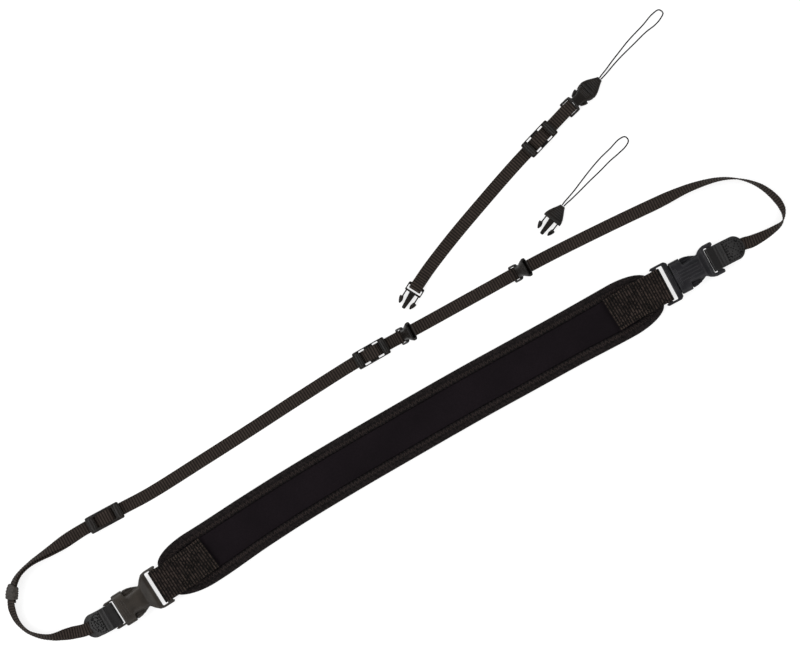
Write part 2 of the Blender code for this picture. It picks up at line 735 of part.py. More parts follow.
@dataclass(frozen=True)
class BuckleEnd:
    """The end of a buckle half that holds a strap: the strap's own size, and the frame round it."""

    strap_width: float
    strap_thickness: float
    slot_open: float
    play: float
    frame_half: float

    @property
    def slot_half(self):
        return self.strap_width / 2 + self.play

    @property
    def slot_end(self):
        return BUCKLE_BAR_WIDTH / 2 + slot_reach(self.slot_open, self.strap_thickness)


PAD_END = BuckleEnd(
    PAD_WEB_WIDTH, PAD_WEB_THICKNESS, PAD_SLOT_OPEN, 0.8 * MM, BUCKLE_FRAME_WIDTH / 2
)
SOCKET_TAB_END = BuckleEnd(
    END_TAB_WIDTH, END_TAB_THICKNESS, TAB_SLOT_OPEN, 0.8 * MM, SOCKET_FRAME_WIDTH / 2
)
# The left plug's frame is narrow enough to go into its socket's mouth.
PLUG_TAB_END = BuckleEnd(
    END_TAB_WIDTH,
    END_TAB_THICKNESS,
    TAB_SLOT_OPEN,
    0.4 * MM,
    BUCKLE_MOUTH_WIDTH / 2 - BUCKLE_SIDE_WALL - GAP,
)
ARM_OVERHANG = 1.2 * MM  # how far a frame's arms reach past its bar


def socket_mouth(end, neck):
    """Distance from a buckle socket's bar to its mouth."""
    return end.slot_end + neck + BUCKLE_WINDOW_LENGTH + BUCKLE_MOUTH_LENGTH


def build_buckle_socket(name, place, end, neck, material):
    """The hollow half of a side-release buckle. Its own X axis runs from the bar to the mouth."""
    half = BUCKLE_THICKNESS / 2
    frame = BUCKLE_FRAME_THICKNESS / 2
    window = end.slot_end + neck
    band = window + BUCKLE_WINDOW_LENGTH
    mouth = band + BUCKLE_MOUTH_LENGTH
    waist = BUCKLE_WAIST_WIDTH / 2
    wide = BUCKLE_MOUTH_WIDTH / 2
    back = -BUCKLE_BAR_WIDTH / 2 - ARM_OVERHANG
    sections = (
        (back, end.frame_half - 0.8 * ARM_OVERHANG, 0.75 * frame),
        (back + 0.8 * ARM_OVERHANG, end.frame_half, frame),
        (end.slot_end - 0.5 * MM, end.frame_half, frame),
        (end.slot_end + 0.35 * neck, end.frame_half - 0.8 * MM, 1.15 * frame),
        (end.slot_end + 0.7 * neck, 0.5 * (waist + end.frame_half), 0.5 * (frame + half)),
        (window, waist, 0.95 * half),
        (band - 0.5 * MM, waist, half),
        (band, wide, half),
        (mouth - 0.8 * MM, wide, half),
        (mouth, wide - 0.5 * MM, half - 0.5 * MM),
    )
    body = loft_sections(name, sections, material)
    inner_half = wide - BUCKLE_SIDE_WALL
    inner_height = half - BUCKLE_WALL
    bar = BUCKLE_BAR_WIDTH / 2
    far = 2 * BUCKLE_THICKNESS
    cutters = (
        cutter_box(
            name + "_cavity",
            (window + GAP, -inner_half, -inner_height),
            (mouth + far, inner_half, inner_height),
        ),
        cutter_box(name + "_slot", (bar, -end.slot_half, -far), (end.slot_end, end.slot_half, far)),
        cutter_box(name + "_notch", (back - far, -end.slot_half, -far), (-bar, end.slot_half, far)),
    )
    return put(combine(body, cutters, "DIFFERENCE"), place, half + FLOOR_GAP)


def frame_outline_half(end, base_end, base):
    """Upper half of a plug's frame, from the notch behind its bar to its shoulder."""
    corner = ARM_OVERHANG
    bar = BUCKLE_BAR_WIDTH / 2
    back = -bar - ARM_OVERHANG
    return [
        (-bar, end.slot_half),
        (back, end.slot_half),
        (back, end.frame_half - corner),
        (back + corner, end.frame_half),
        (base_end - 0.5 * base, end.frame_half),
        (base_end, end.frame_half - 0.4 * base),
    ]


def prong_outline_half(shoulder, window, stem_out, stem_in, head_out, tip, guide_root, guide_tip, reach):
    """Upper half of a plug's two prongs and guide, from the shoulder to the guide's tip. window holds
    where a prong's head starts and ends."""
    start, stop = window
    head = stop - start
    return [
        (shoulder, stem_out),
        (start, stem_out),
        (start + 0.04 * head, head_out),
        (start + 0.35 * head, 0.97 * head_out),
        (start + 0.72 * head, 0.45 * head_out + 0.55 * tip),
        (stop, tip),
        (stop, tip - 0.14 * head_out),
        (start + 0.55 * head, stem_in - 0.18 * head_out),
        (start + 0.15 * head, stem_in - 0.10 * head_out),
        (start - 0.10 * head, stem_in),
        (shoulder, stem_in),
        (shoulder, guide_root),
        (reach - 0.1 * head, guide_tip),
        (reach, 0.7 * guide_tip),
    ]


def build_buckle_plug(name, place, end, base, mouth, material):
    """The pronged half of a side-release buckle. Its own X axis runs from its bar towards the prongs,
    base is the length of its solid shoulder and mouth is where its socket's mouth lies."""
    shoulder = end.slot_end + base
    start = mouth + BUCKLE_MOUTH_LENGTH + GAP
    stop = start + BUCKLE_WINDOW_LENGTH - 3 * GAP
    inner_half = BUCKLE_MOUTH_WIDTH / 2 - BUCKLE_SIDE_WALL
    stem_out = inner_half - 3 * GAP
    outline = frame_outline_half(end, shoulder, base) + prong_outline_half(
        shoulder,
        (start, stop),
        stem_out,
        stem_out - 2.2 * MM,
        BUCKLE_MOUTH_WIDTH / 2 - 0.6 * MM,
        0.95 * BUCKLE_WAIST_WIDTH / 2,
        0.34 * inner_half,
        0.26 * inner_half,
        start + 0.45 * BUCKLE_WINDOW_LENGTH,
    )
    bar = BUCKLE_BAR_WIDTH / 2
    slot = [
        (bar, -end.slot_half),
        (bar, end.slot_half),
        (end.slot_end, end.slot_half),
        (end.slot_end, -end.slot_half),
    ]
    plug = plate(name, mirrored(outline), [slot], BUCKLE_FRAME_THICKNESS, 0.4 * MM, material)
    return put(plug, place, BUCKLE_THICKNESS / 2 + FLOOR_GAP)


def connector_slot_half():
    return (WEB_WIDTH + WEB_PLAY) / 2 + 0.5 * MM


def connector_frame_half():
    return connector_slot_half() + CONNECTOR_ARM


def tipped_bar_reach(pitch):
    """How far the bar of a tipped socket reaches above and below its middle."""
    turn = math.radians(pitch)
    return CONNECTOR_BAR / 2 * (math.sin(turn) + math.cos(turn))


def connector_mouth():
    """Distance from a small socket's outer bar to its mouth."""
    neck = CONNECTOR_BAR / 2 + SOCKET_OPENING + SOCKET_CROSSBAR
    return neck + SOCKET_WINDOW_LENGTH + SOCKET_MOUTH_LENGTH


def build_connector_socket(name, place, height, pitch, material):
    """A small hollow socket on an open frame. Its own X axis runs from the outer bar to the mouth."""
    bar = CONNECTOR_BAR / 2
    half = SOCKET_THICKNESS / 2
    frame = connector_frame_half()
    waist = SOCKET_WAIST_WIDTH / 2
    wide = SOCKET_MOUTH_WIDTH / 2
    cross = bar + SOCKET_OPENING
    window = cross + SOCKET_CROSSBAR
    band = window + SOCKET_WINDOW_LENGTH
    mouth = band + SOCKET_MOUTH_LENGTH
    sections = (
        (-bar, frame - 0.5 * CONNECTOR_ARM, bar),
        (0.5 * bar, frame, bar),
        (cross + 0.2 * SOCKET_CROSSBAR, frame, 1.1 * bar),
        (window - 0.1 * MM, frame - 0.4 * CONNECTOR_ARM, 0.85 * half),
        (window + 0.04 * SOCKET_WINDOW_LENGTH, waist, 0.9 * half),
        (band - 0.25 * SOCKET_WINDOW_LENGTH, waist, half),
        (band, 0.74 * wide, half),
        (band + 0.5 * SOCKET_MOUTH_LENGTH, 0.9 * wide, half),
        (mouth - 0.4 * MM, wide, half),
        (mouth, wide - 0.3 * MM, half - 0.25 * MM),
    )
    body = loft_sections(name, sections, material)
    inner_half = wide - 1.5 * MM
    inner_height = half - SOCKET_WALL
    far = 4 * SOCKET_THICKNESS
    slot_half = connector_slot_half()
    cavity_end = window + 0.06 * SOCKET_WINDOW_LENGTH
    pocket_start = window - 0.55 * SOCKET_CROSSBAR
    pocket = 0.23 * wide
    pocket_height = 0.9 * inner_height
    cutters = (
        cutter_box(name + "_pocket", (pocket_start, -pocket, -pocket_height), (band, pocket, pocket_height)),
        cutter_box(
            name + "_cavity",
            (cavity_end, -inner_half, -inner_height),
            (mouth + far, inner_half, inner_height),
        ),
        cutter_box(name + "_slot", (bar, -slot_half, -far), (cross, slot_half, far)),
    )
    return put(combine(body, cutters, "DIFFERENCE"), place, height, pitch)


def connector_prongs(shoulder, sunk=0.0):
    """Upper half of a small plug's prongs and guide, sized to snap into a small socket. sunk is how far
    their roots reach back into a separate body."""
    depth = SOCKET_MOUTH_LENGTH
    head_stop = shoulder + depth + 0.8 * SOCKET_WINDOW_LENGTH
    head_start = shoulder + depth - 0.06 * SOCKET_WINDOW_LENGTH
    stem_out = SOCKET_MOUTH_WIDTH / 2 - 1.5 * MM - GAP
    return prong_outline_half(
        shoulder - sunk,
        (head_start, head_stop),
        stem_out,
        stem_out - 1.1 * MM,
        SOCKET_MOUTH_WIDTH / 2 - 0.2 * MM,
        0.68 * SOCKET_MOUTH_WIDTH / 2,
        0.42 * stem_out,
        0.24 * stem_out,
        shoulder + PLUG_REACH - GAP,
    )


def plug_slot_end():
    return PLUG_BAR / 2 + PLUG_FOLD_SLACK + slot_reach(PLUG_SLOT_OPEN, WEB_THICKNESS)


def build_tether_plug(name, place, height, material):
    """The tether's plug. Its own X axis runs from the bar towards the prongs."""
    bar = PLUG_BAR / 2
    slot_half = connector_slot_half()
    frame_half = connector_frame_half()
    shoulder = plug_slot_end() + PLUG_BASE
    corner = 0.5 * PLUG_BASE
    outline = [
        (-bar, 0.5 * frame_half),
        (-bar, frame_half - corner),
        (corner - bar, frame_half),
        (shoulder - 0.6 * corner, frame_half),
        (shoulder, frame_half - 0.6 * corner),
    ] + connector_prongs(shoulder)
    slot = [
        (bar, -slot_half),
        (bar, slot_half),
        (plug_slot_end(), slot_half),
        (plug_slot_end(), -slot_half),
    ]
    plug = plate(name, mirrored(outline), [slot], PLUG_THICKNESS, 0.25 * MM, material)
    return put(plug, place, height)


def build_loop_plug(name, place, height, material):
    """A cord-loop plug: a flat triangular body that the cord leaves, and the prongs. Its own X axis
    starts at the shoulder and runs towards the prongs."""
    wide = SOCKET_MOUTH_WIDTH / 2
    tip = LOOP_PLUG_TIP_WIDTH / 2
    # along: share of LOOP_PLUG_BODY behind the shoulder. swell: share of the way from tip to full width.
    shape = ((1.0, 0.0), (0.78, 0.26), (0.5, 0.66), (0.26, 0.92), (0.14, 1.0), (0.0, 1.0))
    half = [(-along * LOOP_PLUG_BODY, tip + swell * (wide - tip)) for along, swell in shape]
    body = plate(name, mirrored(half), [], LOOP_PLUG_THICKNESS, 0.5 * MM, material)
    outline = [(-0.3 * LOOP_PLUG_BODY, 0.7 * wide)] + connector_prongs(0.0, 0.6 * MM)
    prongs = plate(name + "_prongs", mirrored(outline), [], PLUG_THICKNESS, 0.25 * MM, None)
    return put(combine(body, [prongs], "UNION"), place, height)


def build_slider(name, place, deck, length, half_width, rail, end_plate, centre, material):
    """A slider: a frame with one opening, and a centre bar that the webbing passes over. deck is the
    height of the frame's underside."""
    corner = 1.0 * MM
    half_length = length / 2
    open_half = half_length - end_plate
    inner = half_width - rail
    half = [
        (-half_length, half_width - corner),
        (corner - half_length, half_width),
        (half_length - corner, half_width),
        (half_length, half_width - corner),
    ]
    opening = [(-open_half, -inner), (-open_half, inner), (open_half, inner), (open_half, -inner)]
    frame = plate(name, mirrored(half), [opening], SLIDER_PLATE, 0.3 * MM, material, SLIDER_PLATE / 2)
    sunk = 0.5 * rail
    low = 0.15 * MM
    bar_half = [(-centre / 2, inner + sunk), (centre / 2, inner + sunk)]
    bar = plate(name + "_bar", mirrored(bar_half), [], SLIDER_BAR, 0.25 * MM, None, low + SLIDER_BAR / 2)
    return put(combine(frame, [bar], "UNION"), place, deck)


def slider_hump(length, end_plate, centre, deck):
    """How the webbing rises between a slider's ends: (distance from the middle, height gained)."""
    inside = length / 2 - end_plate
    top = deck + 0.15 * MM + SLIDER_BAR + GAP
    return inside - 0.2 * MM, centre / 2 + 0.35 * MM, top


class SlingLayout:
    """Where everything on the sling lies, worked out from the pad outwards."""

    def __init__(self, pad_end_clear):
        left_skew, right_skew = (
            PAD_WEB_WIDTH / 2 * abs(math.sin(turn)) for turn in (LEFT_BUCKLE_TURN, RIGHT_BUCKLE_TURN)
        )
        bar_x = PAD_LENGTH / 2 + pad_end_clear
        left_out = math.pi + LEFT_BUCKLE_TURN
        right_out = RIGHT_BUCKLE_TURN
        self.left_pad_bar = Place(-bar_x - left_skew, LEFT_BUCKLE_OFFSET, left_out)
        self.right_pad_bar = Place(bar_x + right_skew, RIGHT_BUCKLE_OFFSET, right_out)
        self.left_mouth = socket_mouth(PAD_END, LEFT_NECK)
        # The left plug's slot opens right at the socket's mouth, and its shoulder sits inside it.
        self.left_tab_bar = self.left_pad_bar.ahead(self.left_mouth + PLUG_TAB_END.slot_end + GAP)
        self.right_plug_shoulder = PAD_END.slot_end + RIGHT_PLUG_BASE
        self.right_mouth = socket_mouth(SOCKET_TAB_END, RIGHT_NECK)
        self.right_tab_bar = self.right_pad_bar.ahead(self.right_plug_shoulder + GAP + self.right_mouth)
        self.left_tip = self.left_tab_bar.point(END_TAB_LENGTH, LEFT_TAB_SWAY * -1)
        self.right_tip = self.right_tab_bar.point(END_TAB_LENGTH, RIGHT_TAB_SWAY)
        self.route = self.sling_route()

    def sling_route(self):
        """The webbing's plan: its ends sewn inside the two tabs and its points in between."""
        middle = (self.left_tip[0] + self.right_tip[0]) / 2
        half = (self.right_tip[0] - self.left_tip[0]) / 2
        inside = 0.55 * END_TAB_LENGTH
        share = (inside / END_TAB_LENGTH) ** 2
        start = self.left_tab_bar.point(inside, -LEFT_TAB_SWAY * share)
        finish = self.right_tab_bar.point(inside, RIGHT_TAB_SWAY * share)
        points = [(middle + p.along * half, p.across * LOOP_RISE) for p in SLING_ROUTE]
        return Route([start, self.left_tip, *points, self.right_tip, finish])

    def roll(self, s):
        share, degrees = np.array(SLING_ROLL).T
        return np.radians(np.interp(s / self.route.length, share, degrees))


def double_layer(s, start, stop):
    """How much of a second layer lies under the webbing, from 0 to 1."""
    ramp = 6 * MM
    return eased(s, ((start - ramp, 0.0), (start, 1.0), (stop, 1.0), (stop + ramp, 0.0)))


def stations(spans):
    """Distances along a route. Each span is (start, stop, spacing), and a later span replaces what an
    earlier one put in its place."""
    found = np.array([])
    for start, stop, spacing in spans:
        keep = (found < start - 0.4 * spacing) | (found > stop + 0.4 * spacing)
        steps = max(1, round((stop - start) / spacing))
        found = np.concatenate([found[keep], np.linspace(start, stop, steps + 1)])
    return np.sort(found)


def keeper_half_sizes():
    """Half the keeper ring's opening across the webbing, and through both layers."""
    return (WEB_WIDTH / 2 + GAP, WEB_THICKNESS + GAP / 2 + GAP)


def build_sling_webbing(layout, web_finish, ring_finish):
    """The sling's narrow webbing, its tail and the ring that holds the tail."""
    route = layout.route
    keeper_s = KEEPER_STATION * route.length
    slider_s = LENGTH_SLIDER_STATION * route.length
    ladder_s = SLING_LADDER_STATION * route.length
    layer = WEB_THICKNESS + GAP

    hump_out, hump_in, hump_top = slider_hump(
        LENGTH_SLIDER_LENGTH, LENGTH_SLIDER_END, LENGTH_SLIDER_CENTRE, 2 * layer
    )
    ladder_out, ladder_in, ladder_top = slider_hump(LADDER_LENGTH, LADDER_END, LADDER_CENTRE, layer)
    keeper_across, keeper_through = keeper_half_sizes()
    keeper_roll = float(layout.roll(np.array([keeper_s]))[0])
    keeper_rest = (keeper_across + KEEPER_WALL) * math.sin(keeper_roll) + (
        keeper_through + KEEPER_WALL + layer / 2
    ) * math.cos(keeper_roll)
    web_rest = WEB_WIDTH / 2 * math.sin(keeper_roll) + (WEB_THICKNESS / 2 + layer) * math.cos(keeper_roll)
    keeper_lift = keeper_rest - web_rest + FLOOR_GAP

    tab_inside = 0.45 * END_TAB_LENGTH
    tab_steps = np.linspace(0.55, 1.0, 5)
    tab_heights = end_tab_middle(tab_steps * END_TAB_LENGTH) - WEB_THICKNESS / 2

    quarter = KEEPER_LENGTH / 4
    keeper_span = (keeper_s - 3 * quarter, keeper_s + 3 * quarter, quarter)
    loose = (keeper_span[1] + 2 * MM, slider_s - 0.5 * LENGTH_SLIDER_LENGTH - 2 * MM)

    def tail_slip(s):
        """How far the tail hangs out sideways, most of all midway between the ring and the slider."""
        return eased(s, ((loose[0], 0.0), (0.5 * sum(loose), TAIL_SLIP), (loose[1], 0.0)))

    def tail_drop(s):
        """How far under the webbing the tail's middle lies. It is further where it has slipped."""
        return layer + TAIL_SPREAD * tail_slip(s)

    def lift_alone(s):
        """Height gained where the tail lies underneath and where the keeper ring holds both up."""
        double = double_layer(s, keeper_s - KEEPER_LENGTH, slider_s)
        ring = eased(
            s,
            (
                (keeper_s - 3 * KEEPER_LENGTH, 0),
                (keeper_s - 0.5 * KEEPER_LENGTH, 1),
                (keeper_s + 0.5 * KEEPER_LENGTH, 1),
                (keeper_s + 3 * KEEPER_LENGTH, 0),
            ),
        )
        return double * tail_drop(s) * np.cos(layout.roll(s)) + ring * keeper_lift

    def lift(s):
        """All height gained over the webbing's own rest on the surface."""
        total = lift_alone(s)
        under = double_layer(s, keeper_s - KEEPER_LENGTH, slider_s) * layer
        hump = eased(
            s,
            (
                (slider_s - hump_out, 0.0),
                (slider_s - hump_in, hump_top),
                (slider_s + hump_in, hump_top),
                (slider_s + hump_out, 0.0),
            ),
        )
        total = np.where(np.abs(s - slider_s) < hump_out, np.maximum(hump, under), total)
        total += eased(
            s,
            (
                (ladder_s - ladder_out, 0.0),
                (ladder_s - ladder_in, ladder_top),
                (ladder_s + ladder_in, ladder_top),
                (ladder_s + ladder_out, 0.0),
            ),
        )
        for socket in TIPPED_SOCKETS:
            bar_s = socket.station * route.length
            bar_over = FLOOR_GAP + 2 * tipped_bar_reach(socket.pitch) + GAP
            total += eased(
                s,
                (
                    (bar_s - SOCKET_RAMP, 0.0),
                    (bar_s - 0.16 * SOCKET_RAMP, bar_over),
                    (bar_s + 0.1 * SOCKET_RAMP, bar_over),
                    (bar_s + 0.9 * SOCKET_RAMP, 0.0),
                ),
            )
        for start, sign in ((0.0, 1), (route.length, -1)):
            run = (s - start) * sign
            inside = np.interp(run, (tab_steps - tab_steps[0]) * END_TAB_LENGTH, tab_heights)
            after = eased(run, ((tab_inside, tab_heights[-1]), (tab_inside + 9 * MM, 0.0)))
            total += np.where(run < tab_inside, inside, after)
        return total

    def path(s, gained, drop=0.0, slip=0.0):
        """Centres and left directions of a strip that lies below the webbing's own line by drop."""
        roll = layout.roll(s)
        headings = route.headings(s)
        sides = plan_sides(headings, roll)
        ahead = np.stack([np.cos(headings), np.sin(headings), 0 * s], -1)
        up = np.cross(ahead, sides)
        rest = WEB_WIDTH / 2 * np.abs(np.sin(roll)) + WEB_THICKNESS / 2 * np.abs(np.cos(roll))
        centres = np.column_stack([route.at(s), rest + gained])
        drop, slip = np.asarray(drop)[..., None], np.asarray(slip)[..., None]
        return centres - up * drop - sides * slip, sides

    near_tab = tab_inside + 9 * MM
    step = 0.9 * MM
    spans = [
        (0.0, 0.24 * route.length, 6.6 * MM),
        (0.24 * route.length, 0.8 * route.length, 18 * MM),
        (0.8 * route.length, 0.9 * route.length, 8 * MM),
        (0.9 * route.length, route.length, 4.4 * MM),
        (0.0, near_tab, 3.8 * MM),
        (route.length - near_tab, route.length, 3.8 * MM),
        (slider_s - hump_out - step, slider_s - hump_in, step),
        (slider_s + hump_in, slider_s + hump_out + step, step),
        (ladder_s - ladder_out - step, ladder_s - ladder_in, step),
        (ladder_s + ladder_in, ladder_s + ladder_out + step, step),
    ]
    for socket in TIPPED_SOCKETS:
        bar_s = socket.station * route.length
        spans.append((bar_s - SOCKET_RAMP - step, bar_s + 0.9 * SOCKET_RAMP + step, step))
    spans.append(keeper_span)
    s = stations(spans)
    centres, sides = path(s, lift(s))
    sweep_strip("sling_webbing", centres, sides, WEB_WIDTH, WEB_THICKNESS, web_finish)

    # The tail and the ring are read at the webbing's own stations, so that all three stay parallel.
    inner = s[(s > keeper_span[0] - 0.1 * quarter) & (s < slider_s - LENGTH_SLIDER_LENGTH / 2)]
    tail_s = np.append(inner, slider_s)
    centres, sides = path(tail_s, lift_alone(tail_s), tail_drop(tail_s), tail_slip(tail_s))
    sweep_strip("webbing_tail", centres, sides, WEB_WIDTH, WEB_THICKNESS, web_finish)

    ring_s = s[np.abs(s - keeper_s) < 2.1 * quarter]
    build_keeper(path(ring_s, lift_alone(ring_s), layer / 2), ring_finish)


def build_keeper(path, material):
    """The ribbed ring round both layers of webbing, carried along their path."""
    centres, sides = path
    ahead = np.gradient(centres, axis=0)
    ahead /= np.linalg.norm(ahead, axis=1)[:, None]
    up = np.cross(ahead, sides)
    up /= np.linalg.norm(up, axis=1)[:, None]
    across, through = keeper_half_sizes()
    corner = 0.55 * KEEPER_WALL

    def ring(grow):
        width, height = across + grow, through + grow
        cut = corner + 0.4 * grow
        return np.array(
            [
                (width, height - cut),
                (width - cut, height),
                (cut - width, height),
                (-width, height - cut),
                (-width, cut - height),
                (cut - width, -height),
                (width - cut, -height),
                (width, cut - height),
            ]
        )

    forward = list(range(len(centres)))
    rings = []
    for grow, stretch in ((KEEPER_WALL, forward), (0.0, forward[::-1])):
        section = ring(grow)
        for i in stretch:
            rings.append(centres[i] + np.outer(section[:, 0], sides[i]) + np.outer(section[:, 1], up[i]))
    order = (forward + forward[::-1], ring(0.0)[:, 0])
    loft("keeper_ring", rings, material, closed=True, order=order)


def tether_places():
    """The bars at the tether's two ends, and its smooth plan between them."""
    chord = Place(*TETHER_START, TETHER_HEADING)
    table = np.array(TETHER_ROUTE)
    plan = chord.point(table[:, 0] * TETHER_SPAN, table[:, 1] * TETHER_BOW)
    plug_bar = Place(*map(float, plan[0]), TETHER_PLUG_HEADING + math.pi)
    socket_bar = Place(*map(float, plan[-1]), TETHER_SOCKET_HEADING)
    return plug_bar, socket_bar, Route(plan)


def build_tether(web_finish, hard_finish):
    """The tether: webbing folded round the plug's bar, over its slider, round the socket's bar and back
    under itself, with the hardware it carries."""
    plug_bar, socket_bar, route = tether_places()
    layer = WEB_THICKNESS + GAP
    bar = CONNECTOR_BAR / 2
    half_height = bar + GAP + WEB_THICKNESS / 2
    plug_half_height = PLUG_THICKNESS / 2 + GAP + WEB_THICKNESS / 2
    plug_height = plug_half_height + WEB_THICKNESS / 2 + FLOOR_GAP
    socket_height = max(SOCKET_THICKNESS / 2, half_height + WEB_THICKNESS / 2) + FLOOR_GAP
    clear = GAP + WEB_THICKNESS / 2
    nose = CONNECTOR_BAR / 2 + SOCKET_OPENING - GAP - WEB_THICKNESS / 2 - clear
    slider_s = TETHER_LADDER_STATION * route.length
    deck = 2 * layer
    out, into, top = slider_hump(LADDER_LENGTH, LADDER_END, LADDER_CENTRE, deck)
    floor = WEB_THICKNESS / 2

    def upper_height(s):
        knots = (
            (PLUG_BAR / 2 + 2 * GAP, plug_height + plug_half_height),
            (0.6 * TETHER_HEM, floor + 1.2 * layer),
            (TETHER_HEM, floor + layer),
            (TETHER_HEM + 8 * MM, floor),
            (slider_s - out, floor),
            (slider_s - into, floor + top),
            (slider_s + into, floor + top),
            (slider_s + out, floor + layer),
            (slider_s + 0.5 * LADDER_LENGTH + 2 * MM, floor + layer),
            (route.length - CONNECTOR_BAR / 2 - GAP, socket_height + half_height),
        )
        return eased(s, knots)

    hem = TETHER_HEM - 1.0 * MM
    hem_s = np.linspace(hem, 0.0, 7)
    hem_height = eased(hem_s, ((0.0, plug_height - plug_half_height), (0.5 * hem, floor)))
    step = 1.0 * MM
    run_s = stations(
        [
            (0.0, route.length, 9 * MM),
            (0.0, TETHER_HEM + 8 * MM, 2.6 * MM),
            (slider_s - out - step, slider_s - into, step),
            (slider_s + into, slider_s + out + step, step),
            (slider_s + out + 1.5 * step, route.length - CONNECTOR_BAR / 2 - GAP, 2.6 * MM),
        ]
    )
    back_stop = slider_s - 0.5 * LADDER_CENTRE
    back_s = np.linspace(route.length, back_stop, 8)
    back_knots = ((route.length - 16 * MM, floor), (route.length - bar, socket_height - half_height))
    back_height = eased(back_s, back_knots)

    plug_wrap = bar_wrap(PLUG_BAR / 2 + PLUG_FOLD_SLACK, bar, PLUG_THICKNESS / 2, clear)[::-1]
    socket_wrap = bar_wrap(nose, bar, bar, clear)

    def on_route(s, heights):
        return np.column_stack([route.at(s), heights]), plan_sides(route.headings(s))

    def round_bar(bar, path, height, left_sign):
        plan = bar.point(-path[:, 0])
        sides = plan_sides(np.full(len(path), bar.heading)) * left_sign
        return np.column_stack([plan, height + path[:, 1]]), sides

    # The plug's bar faces backwards along the tether, so its left side is the tether's right.
    pieces = (
        on_route(hem_s[:-1], hem_height[:-1]),
        round_bar(plug_bar, plug_wrap, plug_height, -1),
        on_route(run_s, upper_height(run_s)),
        round_bar(socket_bar, socket_wrap, socket_height, 1),
        on_route(back_s[1:], back_height[1:]),
    )
    centres = np.concatenate([p[0] for p in pieces])
    sides = np.concatenate([p[1] for p in pieces])
    sweep_strip("tether_webbing", centres, sides, WEB_WIDTH, WEB_THICKNESS, web_finish)

    build_tether_plug("tether_plug", plug_bar, plug_height, hard_finish)
    build_connector_socket("tether_socket", socket_bar, socket_height, 0.0, hard_finish)
    ladder_half = WEB_WIDTH / 2 + LADDER_SLIT + LADDER_RAIL
    place = route.place(slider_s, LADDER_LENGTH / 2)
    build_slider(
        "tether_ladder_slider",
        place,
        deck,
        LADDER_LENGTH,
        ladder_half,
        LADDER_RAIL,
        LADDER_END,
        LADDER_CENTRE,
        hard_finish,
    )
    return socket_bar, socket_height


def build_cord(name, exit_place, axis_height, route, material):
    """A cord loop that leaves a plug's end and comes back to it, as a round tube."""
    rest = CORD_DIAMETER / 2 + FLOOR_GAP
    table = np.array(route)
    plan = exit_place.point(table[:, 0], table[:, 1])
    heights = rest + table[:, 2] * (axis_height - rest)
    points = np.column_stack([plan, heights])
    knots = np.concatenate([[0.0], np.cumsum(np.linalg.norm(np.diff(points, axis=0), axis=1) ** 0.5)])
    smooth = hermite(np.linspace(0, knots[-1], 12 * CORD_POINTS), knots, points)
    along = np.concatenate([[0.0], np.cumsum(np.linalg.norm(np.diff(smooth, axis=0), axis=1))])
    even = np.linspace(0, along[-1], CORD_POINTS)
    points = np.stack([np.interp(even, along, smooth[:, k]) for k in range(3)], -1)
    points[:, 2] = np.maximum(points[:, 2], rest)
    curve = bpy.data.curves.new(name, "CURVE")
    curve.dimensions = "3D"
    curve.bevel_depth = CORD_DIAMETER / 2
    curve.bevel_resolution = 2
    curve.use_fill_caps = True
    spline = curve.splines.new("POLY")
    spline.points.add(len(points) - 1)
    spline.points.foreach_set("co", np.column_stack([points, np.ones(len(points))]).ravel())
    curve.materials.append(material)
    obj = bpy.data.objects.new(name, curve)
    bpy.context.scene.collection.objects.link(obj)


